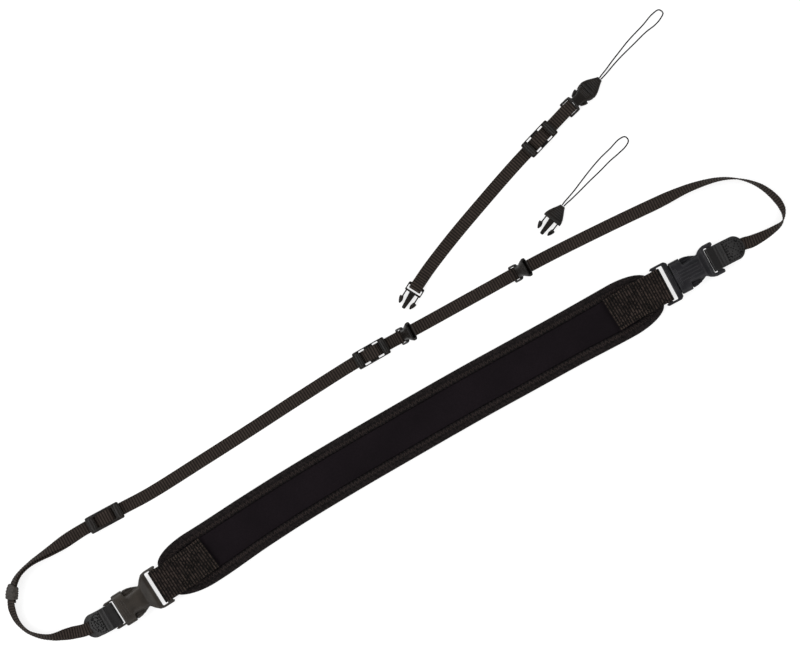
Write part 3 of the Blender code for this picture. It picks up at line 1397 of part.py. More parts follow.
def main():
    for obj in list(bpy.data.objects):
        bpy.data.objects.remove(obj, do_unlink=True)

    panel = finish_material("pad_panel", (0.012, 0.009, 0.013), 0.75)
    tape = finish_material("pad_tape", (0.014, 0.012, 0.012), 0.85)
    webbing = finish_material("webbing", (0.024, 0.018, 0.015), 0.8)
    leather = finish_material("leather_tab", (0.032, 0.030, 0.030), 0.6)
    buckle = finish_material("buckle_plastic", (0.040, 0.039, 0.036), 0.55)
    hardware = finish_material("hardware_plastic", (0.050, 0.046, 0.045), 0.5)
    rubber = finish_material("keeper_rubber", (0.085, 0.075, 0.065), 0.7)
    cord = finish_material("cord", (0.015, 0.014, 0.014), 0.7)

    build_pad(panel, tape)
    _, join = pad_tab_path()
    layout = SlingLayout(join - BINDING_ROUND)
    left_bar, right_bar = layout.left_pad_bar, layout.right_pad_bar

    build_pad_tab("left_pad_tab", left_bar.reversed(), LEFT_PAD_TAB_SWAY, webbing)
    build_pad_tab("right_pad_tab", right_bar.reversed(), RIGHT_PAD_TAB_SWAY, webbing)

    build_buckle_socket("left_buckle_socket", left_bar, PAD_END, LEFT_NECK, buckle)
    left_mouth = PLUG_TAB_END.slot_end + GAP
    left_plug_place = layout.left_tab_bar.reversed()
    build_buckle_plug("left_buckle_plug", left_plug_place, PLUG_TAB_END, LEFT_PLUG_BASE, left_mouth, buckle)
    right_mouth = layout.right_plug_shoulder + GAP
    build_buckle_plug("right_buckle_plug", right_bar, PAD_END, RIGHT_PLUG_BASE, right_mouth, buckle)
    right_socket_place = layout.right_tab_bar.reversed()
    build_buckle_socket("right_buckle_socket", right_socket_place, SOCKET_TAB_END, RIGHT_NECK, buckle)
    build_end_tab("left_end_tab", layout.left_tab_bar, -LEFT_TAB_SWAY, False, leather)
    build_end_tab("right_end_tab", layout.right_tab_bar, RIGHT_TAB_SWAY, True, leather)

    build_sling_webbing(layout, webbing, rubber)
    route = layout.route
    layer = WEB_THICKNESS + GAP
    slider_half = (WEB_WIDTH + WEB_PLAY) / 2 + LENGTH_SLIDER_RAIL
    build_slider(
        "length_slider",
        route.place(LENGTH_SLIDER_STATION * route.length, LENGTH_SLIDER_LENGTH / 2),
        2 * layer,
        LENGTH_SLIDER_LENGTH,
        slider_half,
        LENGTH_SLIDER_RAIL,
        LENGTH_SLIDER_END,
        LENGTH_SLIDER_CENTRE,
        hardware,
    )
    ladder_half = WEB_WIDTH / 2 + LADDER_SLIT + LADDER_RAIL
    build_slider(
        "sling_ladder_slider",
        route.place(SLING_LADDER_STATION * route.length, LADDER_LENGTH / 2),
        layer,
        LADDER_LENGTH,
        ladder_half,
        LADDER_RAIL,
        LADDER_END,
        LADDER_CENTRE,
        hardware,
    )
    for number, socket in enumerate(TIPPED_SOCKETS, 1):
        place = route.place(socket.station * route.length, 2 * MM)
        height = tipped_bar_reach(socket.pitch) + FLOOR_GAP
        name = f"accessory_socket_{number}"
        build_connector_socket(name, place, height, math.radians(socket.pitch), hardware)

    socket_bar, socket_height = build_tether(webbing, hardware)
    loop_shoulder = socket_bar.ahead(connector_mouth() + GAP)
    build_loop_plug("loop_plug", loop_shoulder.reversed(), socket_height, hardware)
    build_cord("loop_cord", loop_shoulder.ahead(LOOP_PLUG_BODY), socket_height, LOOP_CORD_ROUTE, cord)

    spare_height = LOOP_PLUG_THICKNESS / 2 + FLOOR_GAP
    spare_shoulder = Place(*SPARE_PLUG_SHOULDER, SPARE_PLUG_HEADING)
    build_loop_plug("spare_loop_plug", spare_shoulder.reversed(), spare_height, hardware)
    build_cord("spare_loop_cord", spare_shoulder.ahead(LOOP_PLUG_BODY), spare_height, SPARE_CORD_ROUTE, cord)


main()
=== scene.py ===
"""Looks of a camera sling strap that lies flat: pad, webbing, moulded hardware, tabs, stitches and cords.

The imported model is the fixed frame, and every new piece stands where its CAD node is. Lengths are in
metres, +X runs along the pad, +Y from the pad to the narrow webbing and +Z up from the surface.
"""

import json
import logging
import math
from dataclasses import dataclass
from enum import Enum
from typing import Sequence

import bpy
import numpy as np
from mathutils import Matrix, Vector
from mathutils.geometry import tessellate_polygon

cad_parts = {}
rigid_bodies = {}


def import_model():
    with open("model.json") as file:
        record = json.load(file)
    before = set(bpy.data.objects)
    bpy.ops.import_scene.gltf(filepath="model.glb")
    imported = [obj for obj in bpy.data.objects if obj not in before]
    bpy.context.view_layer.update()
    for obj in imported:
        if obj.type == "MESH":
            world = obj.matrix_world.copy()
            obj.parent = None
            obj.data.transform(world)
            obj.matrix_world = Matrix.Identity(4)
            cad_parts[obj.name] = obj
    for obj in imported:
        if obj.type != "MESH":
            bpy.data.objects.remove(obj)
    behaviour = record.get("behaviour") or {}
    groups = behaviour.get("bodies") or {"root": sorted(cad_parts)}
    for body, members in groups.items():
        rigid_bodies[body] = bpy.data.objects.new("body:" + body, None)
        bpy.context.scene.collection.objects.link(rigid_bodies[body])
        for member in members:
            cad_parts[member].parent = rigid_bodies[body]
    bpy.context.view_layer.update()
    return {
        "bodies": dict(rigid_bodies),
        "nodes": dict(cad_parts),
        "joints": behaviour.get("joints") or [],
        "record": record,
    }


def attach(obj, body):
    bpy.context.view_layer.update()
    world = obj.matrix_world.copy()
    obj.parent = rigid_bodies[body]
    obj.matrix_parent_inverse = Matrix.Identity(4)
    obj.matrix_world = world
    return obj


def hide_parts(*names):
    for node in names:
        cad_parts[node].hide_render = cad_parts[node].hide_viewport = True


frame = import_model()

LOG = logging.getLogger("sling_strap")
MM = 0.001
GAP = 0.3 * MM
FLOOR_GAP = 0.1 * MM
SECTION_POINTS = 44
UV_NAME = "surface_mm"
UP = np.array([0.0, 0.0, 1.0])
Array = np.ndarray
Numbers = Array | float
TwoArrays = tuple[Array, Array]
Pair = tuple[float, float]
Piece = bpy.types.Object
Socket = bpy.types.NodeSocket
Value = float | Socket


class Weave(Enum):
    """How the yarns of a woven surface cross."""

    RIBBED = "cross ribs with floating yarns"
    TWILL = "fine diagonal twill"


class Layer(Enum):
    """Which layer of a leather-look tab reaches further over the narrow webbing."""

    UPPER = "upper"
    LOWER = "lower"


# Shapes and paths


def smooth_curve(x: Array, xs: Sequence[float], ys: Array) -> Array:
    """Reads a curve that runs smoothly through knots, with slopes taken from each knot's neighbours.

    Args:
        x: Where to read it.
        xs: The knots' places, rising.
        ys: The knots' values, one row each.

    Returns:
        The cubic Hermite values: h00 y0 + h10 m0 + h01 y1 + h11 m1 in each span.
    """
    xs, ys = np.asarray(xs, float), np.asarray(ys, float)
    slopes = np.gradient(ys, xs, axis=0)
    x = np.clip(x, xs[0], xs[-1])
    i = np.clip(np.searchsorted(xs, x, side="right") - 1, 0, len(xs) - 2)
    width = xs[i + 1] - xs[i]
    t = (x - xs[i]) / width
    if ys.ndim > 1:
        t, width = t[:, None], width[:, None]
    return (
        ys[i] * (1 + 2 * t) * (1 - t) ** 2
        + slopes[i] * width * t * (1 - t) ** 2
        + ys[i + 1] * t * t * (3 - 2 * t)
        + slopes[i + 1] * width * t * t * (t - 1)
    )


def ramps(x: Array, knots: Sequence[Pair]) -> Array:
    """Goes from knot to knot in S-shaped ramps, 3t^2 - 2t^3, level at every knot.

    Args:
        x: Where to read it.
        knots: (place, value) pairs, rising in place.

    Returns:
        The values at x.
    """
    xs, ys = np.array(knots, float).T
    x = np.clip(x, xs[0], xs[-1])
    i = np.clip(np.searchsorted(xs, x, side="right") - 1, 0, len(xs) - 2)
    t = (x - xs[i]) / (xs[i + 1] - xs[i])
    return ys[i] + (ys[i + 1] - ys[i]) * t * t * (3 - 2 * t)


def bump_at(x: Array, middle: float, reach: float, top: float, height: float) -> Array:
    """A hump of this height that rises from middle - reach to middle - top, stays level, and falls the same way."""
    knots = ((middle - reach, 0.0), (middle - top, height), (middle + top, height), (middle + reach, 0.0))
    return ramps(x, knots)


def looped(points: Array) -> Array:
    """The points with the first one again at their end."""
    return np.concatenate([points, points[:1]])


def run_of(points: Array, power: float = 1.0) -> Array:
    """How far each point lies along a broken line, with each step raised to a power."""
    return np.concatenate([[0.0], np.cumsum(np.linalg.norm(np.diff(points, axis=0), axis=1) ** power)])


def read_at(s: Array, along: Array, points: Array) -> Array:
    """Points at the distances s of a line whose corners lie at the distances along."""
    return np.stack([np.interp(s, along, column) for column in points.T], -1)


def raised(plan: Array, height: Numbers) -> Array:
    """Plan points with their heights, one for all or one for each."""
    return np.column_stack([plan, np.broadcast_to(height, len(plan))])


@dataclass(frozen=True)
class Place:
    """A point on the plan and the direction that a piece's own X axis points in."""

    x: float
    y: float
    heading: float

    def point(self, along: Numbers, left: Numbers = 0.0) -> Array:
        """Plan points at these distances along the heading and to its left."""
        cos, sin = math.cos(self.heading), math.sin(self.heading)
        return np.stack([self.x + along * cos - left * sin, self.y + along * sin + left * cos], -1)

    def ahead(self, along: float, left: float = 0.0) -> "Place":
        """The same heading at another point."""
        x, y = self.point(along, left)
        return Place(float(x), float(y), self.heading)

    def turned(self) -> "Place":
        """The same point, facing the other way."""
        return Place(self.x, self.y, self.heading + math.pi)

    def matrix(self, height: float = 0.0, pitch: float = 0.0) -> Matrix:
        """Carries a piece from its own origin to this place, at a height, tipped up by pitch radians."""
        turn = Matrix.Rotation(self.heading, 4, "Z") @ Matrix.Rotation(-pitch, 4, "Y")
        return Matrix.Translation((self.x, self.y, height)) @ turn


@dataclass
class Route:
    """A smooth plan curve through points, measured along its length."""

    points: Sequence[Array]

    def __post_init__(self) -> None:
        """Lays the curve, with 40 steps between two points."""
        points = np.array(self.points, float)
        knots = run_of(points, 0.5)
        spans = [np.linspace(a, b, 40, endpoint=False) for a, b in zip(knots, knots[1:])]
        self.plan = smooth_curve(np.concatenate([*spans, knots[-1:]]), knots, points)
        self.along = run_of(self.plan)
        self.length = float(self.along[-1])

    def at(self, s: Array) -> Array:
        """Points at these distances from the start."""
        return read_at(s, self.along, self.plan)

    def headings(self, s: Array, reach: float = 0.8 * MM) -> Array:
        """Directions of travel at these distances, read over a short reach."""
        ends = self.at(np.clip(s + reach, 0, self.length)) - self.at(np.clip(s - reach, 0, self.length))
        return np.unwrap(np.arctan2(ends[..., 1], ends[..., 0]))

    def place(self, s: float, half_length: float) -> Place:
        """Where a rigid piece sits whose two ends are threaded on the route."""
        back, front = self.at(np.array([s - half_length, s + half_length]))
        x, y = (back + front) / 2
        return Place(float(x), float(y), math.atan2(front[1] - back[1], front[0] - back[0]))


def left_of(headings: Array, roll: Numbers = 0.0) -> Array:
    """Unit vectors to the left of each heading, with that side tipped down by roll."""
    level = np.cos(roll)
    return np.stack([-np.sin(headings) * level, np.cos(headings) * level, -np.sin(roll) + 0 * headings], -1)


def unit(vectors: Array) -> Array:
    """The same directions at length one."""
    return vectors / np.maximum(np.linalg.norm(vectors, axis=-1, keepdims=True), 1e-12)


def swept(centres: Array, sides: Array, up: Array, across: Array, height: Array) -> Array:
    """Rings of points round a path, from their offsets along sides and up."""
    return centres[:, None] + sides[:, None] * across[..., None] + up[:, None] * height[..., None]


# Meshes


def finish_mesh(name: str, shape: "Shape") -> Piece:
    """Makes a mesh object at the origin with its faces turned outwards.

    Args:
        name: The piece's name.
        shape: Its points, faces and surface coordinates.

    Returns:
        The linked object, smooth but for its sharp edges.
    """
    mesh = bpy.data.meshes.new(name)
    mesh.from_pydata(shape.points.tolist(), [], shape.faces)
    mesh.uv_layers.new(name=UV_NAME).data.foreach_set("uv", np.asarray(shape.uv, np.float32).ravel())
    if signed_volume(mesh) < 0:
        mesh.flip_normals()
    mesh.shade_smooth()
    mesh.set_sharp_from_angle(angle=math.radians(40))
    return added(name, mesh)


def added(name: str, data: bpy.types.ID) -> bpy.types.Object:
    """A new object in the scene, with this mesh, lamp or lens."""
    made = bpy.data.objects.new(name, data)
    bpy.context.scene.collection.objects.link(made)
    return made


def signed_volume(mesh: bpy.types.Mesh) -> float:
    """Volume inside a mesh, below zero where its faces point inwards: the sum of a.(b x c) / 6."""
    mesh.calc_loop_triangles()
    points = np.empty(len(mesh.vertices) * 3)
    mesh.vertices.foreach_get("co", points)
    corners = np.empty(len(mesh.loop_triangles) * 3, np.int32)
    mesh.loop_triangles.foreach_get("vertices", corners)
    a, b, c = points.reshape(-1, 3)[corners.reshape(-1, 3)].transpose(1, 0, 2)
    return float(np.einsum("ij,ij->i", a, np.cross(b, c)).sum() / 6)


def tube_faces(rows: int, columns: int, loop: bool) -> list:
    """Quads between rings of points, and end caps unless the rings themselves form a loop."""
    number = np.arange(rows * columns).reshape(rows, columns)
    here = number if loop else number[:-1]
    there = np.roll(number, -1, axis=0) if loop else number[1:]
    quads = np.stack([here, np.roll(here, -1, 1), np.roll(there, -1, 1), there], -1)
    faces = quads.reshape(-1, 4).tolist()
    if not loop:
        faces += [number[0, ::-1].tolist(), number[-1].tolist()]
    return faces


def tube_uv(along: Array, around: Array, loop: bool) -> Array:
    """Surface coordinates for tube_faces.

    Args:
        along: Distance of each ring, in millimetres, with one more at the end for a loop.
        around: Distance round the section of each point, and one more that closes it.
        loop: Whether the rings form a loop.

    Returns:
        One pair for each corner of each face.
    """
    u, v = np.broadcast_arrays(along[:, None], around)
    grid = np.stack([u, v], -1)
    quads = np.stack([grid[:-1, :-1], grid[:-1, 1:], grid[1:, 1:], grid[1:, :-1]], 2).reshape(-1, 2)
    if loop:
        return quads
    return np.concatenate([quads, grid[0, :-1][::-1], grid[-1, :-1]])


def tube(name: str, rings: Array, around: Array | None = None, loop: bool = False) -> Piece:
    """A skin over rings of points, with surface coordinates in millimetres.

    Args:
        name: The piece's name.
        rings: Points as rings x points x 3.
        around: Distance round the section of each point and of its closing, or None to measure it.
        loop: Whether the last ring joins the first.

    Returns:
        The mesh object.
    """
    middles = rings.mean(1)
    along = run_of(looped(middles) if loop else middles) / MM
    if around is None:
        around = run_of(looped(rings[np.argmax(np.ptp(rings, axis=1).sum(1))])) / MM
    return finish_mesh(name, Shape(rings, tube_faces(*rings.shape[:2], loop), tube_uv(along, around, loop)))


def strap_section(width: float, thickness: float, columns: int) -> TwoArrays:
    """Half-round edges joined by flat faces, as (across, up) offsets from the middle.

    Args:
        width: Across the strap.
        thickness: Through the strap.
        columns: Points on each flat face, besides the round edges.

    Returns:
        The points, and how much of a rib's height each one takes: 1 on the faces, less at the edges.
    """
    radius = thickness / 2
    turn = np.radians(np.linspace(90, -90, 7))
    right = np.stack([width / 2 - radius + radius * np.cos(turn), radius * np.sin(turn)], -1)
    flat = np.linspace(radius - width / 2, width / 2 - radius, columns + 2)[1:-1]
    top = np.stack([flat, np.full(columns, radius)], -1)
    points = np.concatenate([top, right, -top, -right])
    share = np.concatenate([np.ones(columns), 0.35 + 0.5 * np.abs(np.sin(turn))] * 2)
    return points, share


def strap(
    name: str, centres: Array, sides: Array, width: Numbers, thickness: float, columns: int, ribs: float = 0.0
) -> Piece:
    """A strap carried along a path, with ribs woven across it.

    Args:
        name: The piece's name.
        centres: The path's points.
        sides: Unit vectors from each point to the strap's left edge.
        width: Its width, one for all or one for each point.
        thickness: Its thickness.
        columns: Points across each face.
        ribs: Height of the ribs, which stands inside the thickness.

    Returns:
        The mesh object. A rib's height is ribs times 1 - cos^4(pi s / pitch).
    """
    ahead = unit(np.gradient(centres, axis=0))
    up = unit(np.cross(ahead, sides))
    widths = np.broadcast_to(np.asarray(width, float), len(centres))
    section, share = strap_section(float(widths.max()), thickness, columns)
    along = run_of(centres)
    groove = np.cos(math.pi * along / SIZES.rib_pitch) ** 4
    across = section[None, :, 0] * (widths / widths.max())[:, None]
    height = section[None, :, 1] - np.sign(section[None, :, 1]) * ribs * groove[:, None] * share
    across = across - np.sign(section[None, :, 0]) * 0.6 * ribs * groove[:, None] * (1 - share)
    return tube(name, swept(centres, -sides, up, across, height), run_of(looped(section)) / MM)


def along_path(points: Array, spacing: float) -> TwoArrays:
    """Reads a broken line at even steps.

    Args:
        points: Its corners.
        spacing: The step.

    Returns:
        The points read, and where each lies in the list of corners, as a fraction of its index.
    """
    along = run_of(points)
    even = np.linspace(0, along[-1], max(2, round(along[-1] / spacing) + 1))
    return read_at(even, along, points), np.interp(even, along, np.arange(len(points)))


@dataclass
class Shape:
    """A mesh being put together.

    points holds its corners, n x 3, faces the corner numbers of each face, and uv a pair for each corner
    of each face.
    """

    points: Array
    faces: list
    uv: Array | None = None

    def __post_init__(self) -> None:
        """Brings the points into rows, and fills in zeros where there is no uv."""
        self.points = np.asarray(self.points, float).reshape(-1, 3)
        if self.uv is None:
            self.uv = np.zeros((sum(map(len, self.faces)), 2))

    def moved(self, matrix: Matrix) -> "Shape":
        """The same shape carried by a 4 by 4 matrix."""
        turn = np.array(matrix)
        return Shape(self.points @ turn[:3, :3].T + turn[:3, 3], self.faces, self.uv)

    @staticmethod
    def joined(shapes: Sequence["Shape"]) -> "Shape":
        """All the shapes as one."""
        starts = np.cumsum([0] + [len(shape.points) for shape in shapes])
        faces = [[i + start for i in face] for shape, start in zip(shapes, starts.tolist()) for face in shape.faces]
        points = np.concatenate([shape.points for shape in shapes])
        return Shape(points, faces, np.concatenate([shape.uv for shape in shapes]))


def rounded_corners(points: Sequence[Pair], radius: float, steps: int = 4) -> Array:
    """Rounds the corners of a closed outline.

    Args:
        points: The corners, counter-clockwise, or clockwise for a hole.
        radius: How far from a corner its round begins, less where the sides are short.
        steps: Points on each round, besides its first.

    Returns:
        The outline, with (1-t)^2 a + 2t(1-t) corner + t^2 b at each corner.
    """
    corner = np.asarray(points, float)
    before, after = np.roll(corner, 1, 0) - corner, np.roll(corner, -1, 0) - corner
    sides = [np.linalg.norm(side, axis=1, keepdims=True) for side in (before, after)]
    reach = np.minimum(radius, 0.45 * np.minimum(*sides))
    a, b = corner + before / sides[0] * reach, corner + after / sides[1] * reach
    t = np.linspace(0, 1, steps + 1)[None, :, None]
    curve = (1 - t) ** 2 * a[:, None] + 2 * t * (1 - t) * corner[:, None] + t**2 * b[:, None]
    return curve.reshape(-1, 2)


def moved_in(outline: Array, distance: float) -> Array:
    """A counter-clockwise outline moved inwards, each corner along its own bisector."""
    before, after = unit(outline - np.roll(outline, 1, 0)), unit(np.roll(outline, -1, 0) - outline)
    inward = np.stack([-(before + after)[:, 1], (before + after)[:, 0]], -1)
    normal = np.stack([-after[:, 1], after[:, 0]], -1)
    scale = np.maximum(np.sum(inward * normal, axis=1), 0.5)
    return outline + inward * (distance / scale)[:, None]


def round_plate(outline: Array, holes: Sequence[Array], thickness: float, radius: float, middle: float = 0.0) -> Shape:
    """A flat plate whose edges are rounded off all along, round its holes too.

    Args:
        outline: Its outline, counter-clockwise.
        holes: The outlines of its holes, clockwise.
        thickness: Through the plate.
        radius: Of the rounded edges.
        middle: Height of its middle.

    Returns:
        The shape. At an angle a on a rounded edge it is moved in by r (1 - cos a).
    """
    turn = np.radians([-90, -65, -40, -15, 15, 40, 65, 90])
    inset = radius * (1 - np.cos(turn))
    heights = middle + np.sign(turn) * (thickness / 2 - radius) + radius * np.sin(turn)
    points, faces, caps, start = [], [], ([], []), 0
    for loop in [outline, *holes]:
        rings = [raised(moved_in(loop, i), z) for i, z in zip(inset, heights)]
        points.append(np.concatenate(rings))
        faces += [[i + start for i in face] for face in tube_faces(len(rings), len(loop), False)[:-2]]
        caps[0].append(np.arange(start, start + len(loop)))
        start += len(rings) * len(loop)
        caps[1].append(np.arange(start - len(loop), start))
    corners = np.concatenate(points)
    for cap in caps:
        order = np.concatenate(cap).tolist()
        loops = [[Vector((*corners[i][:2], 0.0)) for i in loop] for loop in cap]
        faces += [[order[i] for i in face] for face in tessellate_polygon(loops)]
    return Shape(corners, faces)


def mirror_half(half: Sequence[Pair]) -> Array:
    """A closed counter-clockwise outline from its upper half, which runs from low X to high X."""
    upper = np.asarray(half, float)
    return np.concatenate([upper * (1, -1), upper[::-1]])


def rounded_box(count: int, y_power: float, z_power: float) -> TwoArrays:
    """Points round a rounded box of half size 1: signed powers of the cosine and the sine of each turn."""
    turn = (np.arange(count) + 0.5) * 2 * math.pi / count
    waves = ((np.cos(turn), y_power), (np.sin(turn), z_power))
    y, z = (np.sign(wave) * np.abs(wave) ** power for wave, power in waves)
    return y, z


def section_loft(knots: Sequence[tuple[float, float, float]], fullness: float = 5.0, step: float = 0.5 * MM) -> Shape:
    """A body along its own X axis with rounded-box sections, |y/w|^n + |z/h|^n = 1.

    Args:
        knots: (x, half width, half height), rising in x.
        fullness: The power n.
        step: Distance between sections.

    Returns:
        The closed shape.
    """
    table = np.array(knots)
    x = np.unique(np.concatenate([table[:, 0], np.arange(table[0, 0], table[-1, 0], step)]))
    wide, high = np.interp(x, table[:, 0], table[:, 1]), np.interp(x, table[:, 0], table[:, 2])
    y, z = rounded_box(SECTION_POINTS, 2 / fullness, 2 / fullness)
    rings = np.stack([x[:, None] + 0 * y, wide[:, None] * y, high[:, None] * z], -1)
    return Shape(rings, tube_faces(len(x), SECTION_POINTS, False))


def block(low: Sequence[float], high: Sequence[float]) -> Shape:
    """A plain box, used only to cut or to be rounded off."""
    corners = [(x, y, z) for x in (low[0], high[0]) for y in (low[1], high[1]) for z in (low[2], high[2])]
    faces = [[0, 1, 3, 2], [4, 6, 7, 5], [0, 4, 5, 1], [2, 3, 7, 6], [0, 2, 6, 4], [1, 5, 7, 3]]
    return Shape(np.array(corners), faces)


def ridge(start: Sequence[float], end: Sequence[float], width: float, rise: float) -> Shape:
    """A low moulded rib with tapered ends, half sunk into the face it stands on.

    Args:
        start: Its first end, at the height of the face.
        end: Its other end.
        width: Across the rib.
        rise: How far it stands out of the face.

    Returns:
        A round section scaled by (1 - |2t - 1|^6)^(1/2) along the rib.
    """
    t = np.array([0.0, 0.015, 0.05, 0.12, 0.5, 0.88, 0.95, 0.985, 1.0])
    a, b = np.asarray(start, float), np.asarray(end, float)
    side = unit(np.cross(UP, b - a))
    taper = np.sqrt(np.maximum(1 - np.abs(2 * t - 1) ** 6, 0.01))
    turn = np.linspace(0, 2 * math.pi, 9)[:-1]
    rings = (a + (b - a) * t[:, None])[:, None] + taper[:, None, None] * (
        side * (width / 2 * np.cos(turn))[:, None] + np.outer(rise * np.sin(turn), UP)
    )
    return Shape(rings, tube_faces(len(t), len(turn), False))


def cross_ribs(x: float, reach: float, level: float, width: float, rise: float) -> list[Shape]:
    """The same rib across the upper and the lower face of a moulding, whose skin is at plus and minus level."""
    return [ridge((x, -reach, face * level), (x, reach, face * level), width, rise) for face in (1, -1)]


def applied(piece: Piece) -> Piece:
    """The piece with its modifiers made part of its mesh."""
    graph = bpy.context.evaluated_depsgraph_get()
    mesh = bpy.data.meshes.new_from_object(piece.evaluated_get(graph))
    piece.modifiers.clear()
    old, piece.data = piece.data, mesh
    mesh.name = piece.name
    bpy.data.meshes.remove(old)
    return piece


def discard(*pieces: Piece) -> None:
    """Removes helpers that were only needed for a cut."""
    for piece in pieces:
        mesh = piece.data
        bpy.data.objects.remove(piece)
        bpy.data.meshes.remove(mesh)


def moulded(name: str, bodies: Sequence[Shape], cutters: Sequence[Shape], voxel: float, rounds: int) -> Shape:
    """One plastic moulding: bodies fused, hollows cut, and every edge softened.

    Args:
        name: A name for its helpers.
        bodies: Closed shapes that overlap.
        cutters: What is taken away from the first of them.
        voxel: How fine the fused skin is.
        rounds: How many times the skin is smoothed, which rounds its edges.

    Returns:
        The finished skin.
    """
    body = finish_mesh(name + "_body", bodies[0])
    helpers = [finish_mesh(f"{name}_cut{i}", cutter) for i, cutter in enumerate(cutters)]
    for helper in helpers:
        cut = body.modifiers.new(helper.name, "BOOLEAN")
        cut.operation, cut.solver, cut.object = "DIFFERENCE", "EXACT", helper
    applied(body)
    fused = finish_mesh(name + "_fused", Shape.joined([shape_of(body), *bodies[1:]]))
    skin = fused.modifiers.new("skin", "REMESH")
    skin.mode, skin.voxel_size, skin.use_smooth_shade = "VOXEL", voxel, True
    soften = fused.modifiers.new("soften", "SMOOTH")
    soften.factor, soften.iterations = 0.5, rounds
    shape = shape_of(applied(fused))
    discard(body, fused, *helpers)
    return shape


def shape_of(piece: Piece) -> Shape:
    """A piece's mesh as a shape."""
    points = np.empty(len(piece.data.vertices) * 3)
    piece.data.vertices.foreach_get("co", points)
    return Shape(points.reshape(-1, 3), [list(face.vertices) for face in piece.data.polygons])


def set_points(piece: Piece, points: Array) -> None:
    """Moves a piece's corners to these points."""
    piece.data.vertices.foreach_set("co", points.ravel())
    piece.data.update()


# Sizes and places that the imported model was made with


@dataclass(frozen=True)
class Shared:
    """Sizes that several pieces share."""

    web_width: float = 10.0 * MM
    web_thickness: float = 1.2 * MM
    web_play: float = 1.0 * MM
    small_bar: float = 0.9 * MM
    rib_pitch: float = 2.17 * MM
    rib_height: float = 0.2 * MM
    tab_width: float = 19.2 * MM
    tab_thickness: float = 1.3 * MM
    tab_length: float = 25.6 * MM
    tab_step: float = 5.0 * MM
    pad_web_width: float = 27.4 * MM
    pad_web_thickness: float = 1.4 * MM
    pad_tab_length: float = 45.5 * MM
    pad_tab_slope: float = math.radians(40)
    buckle_thickness: float = 11.6 * MM
    buckle_bar: float = 4.2 * MM
    frame_thickness: float = 4.2 * MM
    mouth_width: float = 26.8 * MM
    side_wall: float = 1.6 * MM
    mouth_length: float = 9.2 * MM
    window_length: float = 14.2 * MM
    waist_width: float = 18.8 * MM

    @property
    def layer(self) -> float:
        """One layer of narrow webbing and the gap over it."""
        return self.web_thickness + GAP

    @property
    def buckle_height(self) -> float:
        """Height of the middle of the big buckles."""
        return self.buckle_thickness / 2 + FLOOR_GAP


SIZES = Shared()


@dataclass(frozen=True)
class Pad:
    """The shoulder pad's plan: a bowed strip with rounded corners that end square.

    stations holds (share of half the length, share of the bow, share of the flare).
    """

    length: float = 443.0 * MM
    width: float = 43.6 * MM
    flare: float = 1.8 * MM
    bow: float = 6.5 * MM
    thickness: float = 6.0 * MM
    edge_height: float = 5.2 * MM
    corner: float = 32.0 * MM
    end_straight: float = 0.5
    tape_width: float = 8.6 * MM
    tape_thickness: float = 1.0 * MM
    tape_round: float = 2.4 * MM
    stations: tuple = (
        (-1.00, -0.50, 1.0), (-0.82, -0.44, 1.0), (-0.64, -0.11, 0.3), (-0.46, 0.08, 0.0), (-0.27, 0.11, 0.0),
        (0.00, 0.00, 0.0), (0.27, -0.18, 0.0), (0.46, -0.41, 0.0), (0.64, -0.62, 0.0), (0.82, -0.86, 0.7),
        (1.00, -1.00, 1.0),
    )

    def outline(self, inset: float, flank: int, turns: int, ends: int) -> Array:
        """The pad's plan moved in by inset.

        Args:
            inset: How far inside the pad's edge.
            flank: Points on each long side.
            turns: Points on each corner, a quarter of an ellipse.
            ends: Points on each square end.

        Returns:
            The closed plan, counter-clockwise, with the same count for every inset.
        """
        share, bow, flare = np.array(self.stations).T
        half_length, corner = self.length / 2 - inset, self.corner - inset
        turn = np.radians(np.linspace(0, 90, turns + 1))[1:]
        reach = half_length - corner + corner * np.sin(turn)
        narrow = self.end_straight + (1 - self.end_straight) * np.cos(turn)
        x = np.concatenate([-reach[::-1], np.linspace(-1, 1, flank) * (half_length - corner), reach])
        shrink = np.concatenate([narrow[::-1], np.ones(flank), narrow])
        middle = smooth_curve(x / (self.length / 2), share, bow * self.bow)
        width = self.width + smooth_curve(x / (self.length / 2), share, flare * self.flare)
        half = (width / 2 - inset) * shrink
        lower, upper = np.stack([x, middle - half], -1), np.stack([x, middle + half], -1)
        t = np.linspace(0, 1, ends + 2)[1:-1, None]
        right = lower[-1] + (upper[-1] - lower[-1]) * t
        left = upper[0] + (lower[0] - upper[0]) * t
        return np.concatenate([lower, right, upper[::-1], left])


PAD = Pad()


@dataclass(frozen=True)
class StrapEnd:
    """The end of a buckle half that holds a strap."""

    strap_width: float
    strap_thickness: float
    slot_open: float
    play: float
    frame_half: float

    @property
    def slot_half(self) -> float:
        """Half the slot's length."""
        return self.strap_width / 2 + self.play

    @property
    def slot_end(self) -> float:
        """From the bar's middle to the far side of the slot."""
        return SIZES.buckle_bar / 2 + self.slot_open + self.strap_thickness + GAP


PAD_END = StrapEnd(SIZES.pad_web_width, SIZES.pad_web_thickness, 3.0 * MM, 0.8 * MM, 16.4 * MM)
SOCKET_TAB_END = StrapEnd(SIZES.tab_width, SIZES.tab_thickness, 1.2 * MM, 0.8 * MM, 13.3 * MM)
PLUG_HALF = SIZES.mouth_width / 2 - SIZES.side_wall - GAP
PLUG_TAB_END = StrapEnd(SIZES.tab_width, SIZES.tab_thickness, 1.2 * MM, 0.4 * MM, PLUG_HALF)


